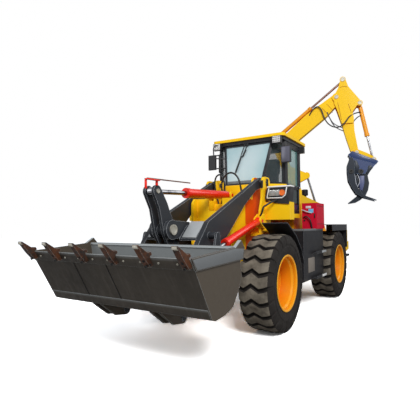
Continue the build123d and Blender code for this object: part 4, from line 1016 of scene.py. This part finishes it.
class LOADER_OT_arm_trim(bpy.types.Operator):
    """Cap the loader's pins and fit the bucket gauge and the crossmember's cover."""
    bl_idname = "loader.arm_trim"
    bl_label = "Arm trim"

    def execute(self, context):
        boss = disc((2.510, 0.132, 1.245), (0, 1, 0), 0.056, 0.020, 32, 0.28, 0.35)
        fit_both(boss, "crank_cap", "lift_arms", "worn_bright", "worn_steel")
        top = disc((2.700, 0.080, 1.645), (0, 1, 0), 0.024, 0.014, 24)
        fit_both(top, "crank_top_cap", "bell_crank", "worn_bright", "worn_steel")
        gauge = rod((2.893, 0.100, 1.757), (2.160, 0.100, 1.776), 0.007, 12)
        fit(gauge, "gauge_rod", "bell_crank", "dull_rod", "red_paint")
        bracket = join([block((2.712, 0.0765, 1.700), (2.742, 0.090, 1.765), 0.002),
                        block((2.705, 0.0765, 1.745), (2.905, 0.112, 1.757), 0.002),
                        block((2.880, 0.0765, 1.655), (2.905, 0.090, 1.757), 0.002)])
        fit(bracket, "gauge_bracket", "bell_crank", "red_paint", "red_paint")
        cover = block((2.180, 0.150, 1.2425), (2.425, 0.332, 1.2505), 0.002, (0, math.radians(45), 0))
        fit_both(cover, "crossmember_cover", "lift_arms", "light_steel", "dark_grey_paint")
        return {"FINISHED"}


class LOADER_OT_side_trim(bpy.types.Operator):
    """Lay the tread plates, tank panel and blank patches along the sides."""
    bl_idname = "loader.side_trim"
    bl_label = "Side trim"

    def execute(self, context):
        for level, z, look in (("low", 0.458, "lamp_white"), ("high", 0.838, "light_steel")):
            tread = block((-0.640, 0.8845, z + 0.002), (-0.400, 0.8885, z + 0.038), 0.001)
            fit_both(tread, "step_edge_" + level, "rear_frame", look, "worn_steel")
        inner, outer = TANK_SKIN
        rim = join([block((-0.678, inner, 1.198), (0.349, outer, 1.229), 0.001),
                    block((0.3445, 0.455, 1.198), (0.349, outer, 1.229), 0.001)])
        fit_both(rim, "tank_rim", "rear_frame", "strip_grey", "black_paint")
        panel = block((-0.174, inner, 0.572), (0.140, outer, 0.790), 0.002)
        fit_both(panel, "tank_panel", "rear_frame", "panel_dusty", "black_paint")
        front = -0.2905
        patches = ((0.664, 0.748, 1.556, 1.592, "patch_white"), (0.706, 0.788, 1.482, 1.545, "patch_blue"))
        for k, (y0, y1, z0, z1, look) in enumerate(patches):
            patch = block((front, y0, z0), (front + 0.0025, y1, z1), 0.0008)
            fit(patch, "box_patch_%d" % k, "rear_frame", look, "red_paint")
        latch = join([block((front, 0.800, 1.40), (front + 0.012, 0.815, 1.47), 0.002),
                      disc((front + 0.004, 0.640, 1.36), (1, 0, 0), 0.014, 0.012, 16),
                      block((-0.700, 0.8395, 1.300), (-0.310, 0.8425, 1.306), 0.001),
                      block((-0.700, 0.8395, 1.590), (-0.310, 0.8425, 1.596), 0.001)])
        fit(latch, "box_fittings", "rear_frame", "seam_black", "red_paint")
        return {"FINISHED"}


class LOADER_OT_hoe_trim(bpy.types.Operator):
    """Cap the backhoe's pins and dress the grapple."""
    bl_idname = "loader.hoe_trim"
    bl_label = "Backhoe trim"

    def execute(self, context):
        caps = (("boom_foot_caps", "boom", (0.130, 1.250), 0.050, 0.135),
                ("boom_tip_caps", "boom", (0.665, 4.020), 0.040, 0.127),
                ("stick_eye_caps", "stick", (0.800, 4.390), 0.047, 0.117),
                ("head_base_caps", "stick", (1.131, 3.850), 0.040, 0.117),
                ("head_pin_caps", "stick", (1.049, 2.808), 0.036, 0.114),
                ("head_eye_caps", "grapple_head", (1.373, 2.652), 0.036, 0.108))
        sideways = arm_point(0, 1, 0) - arm_point(0, 0, 0)
        for name, body, (s, z), radius, half in caps:
            pair = [disc(arm_point(s, side * (half + 0.005), z), sideways, radius, 0.016, 28, 0.3, 0.3)
                    for side in (-1, 1)]
            fit(join(pair), name, body, "worn_bright", "chrome")
        for name, (s, z), radius, half in (("outer_jaw_caps", (0.926, 2.400), 0.046, 0.178),
                                           ("inner_jaw_caps", (1.118, 2.392), 0.052, 0.128)):
            pair = [disc(arm_point(s, side * (half + 0.004), z), sideways, radius, 0.018, 28, 0.45, 0.5)
                    for side in (-1, 1)]
            fit(join(pair), name, "grapple_head", "seam_black", "black_paint")

        def both(corners, low, high, width=0.002):
            near = on_arm(plate(corners, "Y", -high, -low, width))
            far = on_arm(plate(corners, "Y", low, high, width))
            return join([near, far])

        deck = both([(0.885, 2.773), (0.958, 2.834), (1.450, 2.606), (1.405, 2.530), (0.925, 2.705)],
                    0.1105, 0.1275)
        fit(deck, "deck_sides", "grapple_head", "blue_paint", "blue_paint")
        # dark plates on the head's cheeks: painted shade
        shades = ([(0.985, 2.640), (1.045, 2.625), (1.092, 2.490), (1.062, 2.352), (0.985, 2.352)],
                  [(1.262, 2.505), (1.315, 2.520), (1.350, 2.455), (1.300, 2.400), (1.225, 2.352)])
        dark = join([both(corners, 0.1255, 0.1300) for corners in shades])
        fit(dark, "cheek_shades", "grapple_head", "jaw_paint", "blue_paint")
        pin = join([on_arm(disc((1.034, w, 2.534), (0, 1, 0), 0.036, 0.004, 24, 0.3, 0.3))
                    for w in (-0.1275, 0.1275)])
        fit(pin, "ram_pin_caps", "grapple_head", "seam_black", "black_paint")
        plates = both([(1.099, 2.310), (1.186, 2.306), (1.182, 2.150), (1.145, 1.994), (1.097, 2.017),
                       (1.081, 2.174)], 0.087, 0.097)
        fit(plates, "jaw_plates", "jaw_inner", "plate_blue", "blue_paint")
        guard = both([(0.992, 2.345), (1.078, 2.345), (1.084, 2.210), (1.090, 2.060), (1.008, 2.075)],
                     0.070, 0.082)
        fit(guard, "hose_guards", "grapple_head", "jaw_paint", "blue_paint")
        seams = (("stick_seams", "stick", 0.1176,
                  (((0.735, 4.212), (0.800, 4.238)), ((0.800, 4.238), (0.893, 4.215)),
                   ((0.690, 3.900), (0.757, 3.520)), ((0.901, 3.850), (0.957, 3.651)))),
                 ("boom_seams", "boom", 0.0855,
                  (((0.372, 3.812), (0.498, 3.650)), ((0.470, 3.895), (0.590, 3.742)))))
        for name, body, half, lines in seams:
            welds = [on_arm(rod((s0, w, z0), (s1, w, z1), 0.004, 8)) for w in (-half, half)
                     for (s0, z0), (s1, z1) in lines]
            fit(join(welds), name, body, "seam_orange", "yellow_paint")
        return {"FINISHED"}


class LOADER_OT_hoses(bpy.types.Operator):
    """Run the hydraulic hoses, each from one fitting to the other."""
    bl_idname = "loader.hoses"
    bl_label = "Hoses"

    def execute(self, context):
        hose("tower_hose_long", "front_frame",
             [(0.93, 0.150, 1.600), (0.97, 0.150, 1.780), (0.99, 0.110, 1.985), (1.00, -0.020, 2.060),
              (1.00, -0.150, 1.965), (0.98, -0.170, 1.790), (0.94, -0.150, 1.600)], 0.013)
        hose("tower_hose_short", "front_frame",
             [(0.93, -0.205, 1.600), (0.97, -0.100, 1.830), (0.98, -0.170, 2.040), (0.98, -0.270, 2.010),
              (0.97, -0.300, 1.850), (0.94, -0.240, 1.600)], 0.012)
        # reach, offset to the side and height, along the backhoe
        bend = ("stick", arm_point(0.45, 0, 3.60), arm_point(0.82, 0, 3.45))
        loop = ((0.100, -0.086, 3.680), (0.170, -0.120, 3.825), (0.330, -0.125, 3.865),
                (0.430, -0.128, 3.500), (0.600, -0.135, 3.355), (0.780, -0.140, 3.370),
                (0.950, -0.125, 3.640), (1.140, -0.040, 3.668))
        hose("stick_hose_black", "boom", on_hoe(loop), 0.013, across=bend)
        high = ((0.470, -0.086, 3.720), (0.525, -0.110, 3.560), (0.620, -0.112, 3.415),
                (0.790, -0.079, 3.350))
        low = ((0.500, -0.086, 3.640), (0.560, -0.110, 3.470), (0.660, -0.112, 3.335),
               (0.800, -0.079, 3.283))
        for k, line in enumerate((high, low)):
            hose("stick_hose_grey_%d" % k, "boom", on_hoe(line), 0.010, "hose_grey", across=bend)
        ram = ((0.990, -0.079, 3.450), (1.040, -0.100, 3.540), (1.150, -0.030, 3.600))
        hose("ram_hose", "stick", on_hoe(ram), 0.011)
        jaw_lines = (((0.995, 2.345), (1.012, 2.210), (1.022, 2.130), (1.055, 2.030)),
                     ((1.050, 2.340), (1.098, 2.225), (1.085, 2.140), (1.030, 2.070), (1.080, 2.010)))
        for k, line in enumerate(jaw_lines):
            hose("jaw_hose_%d" % k, "grapple_head", on_hoe([(s, -0.110, z) for s, z in line]), 0.0075,
                 "hose_white")
        hose("box_pipe", "rear_frame",
             [(-0.284, 0.600, 1.530), (-0.262, 0.640, 1.520), (-0.255, 0.700, 1.495), (-0.284, 0.760, 1.478)],
             0.009, "hose_white")
        hose("box_hose", "rear_frame",
             [(-0.286, 0.625, 1.400), (-0.262, 0.650, 1.425), (-0.250, 0.700, 1.420), (-0.250, 0.745, 1.375),
              (-0.262, 0.760, 1.300), (-0.280, 0.765, 1.231)], 0.010)
        return {"FINISHED"}


class LOADER_OT_stage(bpy.types.Operator):
    """Lay a pale floor and set soft studio light."""
    bl_idname = "loader.stage"
    bl_label = "Stage"

    def execute(self, context):
        context.scene.view_settings.view_transform = "Standard"
        bpy.ops.object.select_all(action="DESELECT")
        bpy.ops.mesh.primitive_plane_add(size=2 * sizes().floor, location=(0, 0, -0.001))
        floor = context.object
        floor.name = "floor"
        mat = bpy.data.materials.new("floor_white")
        mat.use_nodes = True
        shader = mat.node_tree.nodes["Principled BSDF"]
        shader.inputs["Roughness"].default_value = 1.0
        shader.inputs["Specular IOR Level"].default_value = 0.0
        ray = mat.node_tree.nodes.new("ShaderNodeLightPath")
        pale = mat.node_tree.nodes.new("ShaderNodeMapRange")
        pale.inputs["To Min"].default_value = sizes().floor_bounce
        pale.inputs["To Max"].default_value = sizes().floor_white
        mat.node_tree.links.new(ray.outputs["Is Camera Ray"], pale.inputs["Value"])
        mat.node_tree.links.new(pale.outputs["Result"], shader.inputs["Base Color"])
        floor.data.materials.append(mat)
        world = bpy.data.worlds.new("studio")
        world.use_nodes = True
        context.scene.world = world
        tree = world.node_tree
        tree.nodes.clear()
        out = tree.nodes.new("ShaderNodeOutputWorld")
        mix = tree.nodes.new("ShaderNodeMixShader")
        sky = tree.nodes.new("ShaderNodeBackground")
        white = tree.nodes.new("ShaderNodeBackground")
        path = tree.nodes.new("ShaderNodeLightPath")
        sky.inputs["Strength"].default_value = sizes().sky
        sky.inputs["Color"].default_value = (0.93, 0.96, 1.0, 1)
        white.inputs["Color"].default_value = (1, 1, 1, 1)
        most = tree.nodes.new("ShaderNodeMath")
        most.operation = "MAXIMUM"
        tree.links.new(path.outputs["Is Camera Ray"], most.inputs[0])
        tree.links.new(path.outputs["Is Transmission Ray"], most.inputs[1])
        tree.links.new(most.outputs["Value"], mix.inputs["Fac"])
        tree.links.new(sky.outputs["Background"], mix.inputs[1])
        tree.links.new(white.outputs["Background"], mix.inputs[2])
        tree.links.new(mix.outputs["Shader"], out.inputs["Surface"])
        for name, place, size, power in (("key", (8.0, 6.5, 8.0), 4.0, 1120.0),
                                         ("fill", (8.0, -6.0, 5.0), 6.0, 160.0),
                                         ("rim", (-7.0, 6.0, 7.0), 5.0, 160.0)):
            light = bpy.data.lights.new(name, "AREA")
            light.size = size
            light.energy = power
            lamp = bpy.data.objects.new(name, light)
            context.scene.collection.objects.link(lamp)
            aim = (Vector((0, 0, 1.2)) - Vector(place)).to_track_quat("-Z", "Y")
            lamp.matrix_world = Matrix.Translation(place) @ aim.to_matrix().to_4x4()
        return {"FINISHED"}


class LOADER_PT_panel(bpy.types.Panel):
    """The loader's colours, its sizes and the steps that dress it."""
    bl_idname = "LOADER_PT_panel"
    bl_label = "Loader"
    bl_space_type = "VIEW_3D"
    bl_region_type = "UI"
    bl_category = "Loader"

    def draw(self, context):
        for group in (colours(), sizes()):
            for key in group.bl_rna.properties.keys():
                if key not in ("rna_type", "name"):
                    self.layout.prop(group, key)
        for step in STEPS:
            self.layout.operator(step.bl_idname)


STEPS = (LOADER_OT_camera, LOADER_OT_hoses, LOADER_OT_finishes, LOADER_OT_tyres, LOADER_OT_hubs,
         LOADER_OT_bucket_trim, LOADER_OT_lights, LOADER_OT_cab_trim, LOADER_OT_tower_trim,
         LOADER_OT_arm_trim, LOADER_OT_side_trim, LOADER_OT_hoe_trim, LOADER_OT_stage)
CLASSES = (LoaderColours, LoaderSizes, *STEPS, LOADER_PT_panel)


def register():
    for cls in CLASSES:
        bpy.utils.register_class(cls)
    bpy.types.Scene.loader_colours = PointerProperty(type=LoaderColours)
    bpy.types.Scene.loader_sizes = PointerProperty(type=LoaderSizes)


def unregister():
    del bpy.types.Scene.loader_sizes
    del bpy.types.Scene.loader_colours
    for cls in reversed(CLASSES):
        bpy.utils.unregister_class(cls)


def main():
    register()
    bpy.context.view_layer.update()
    for step in STEPS:
        getattr(bpy.ops.loader, step.bl_idname.split(".")[1])()


if __name__ == "__main__":
    main()
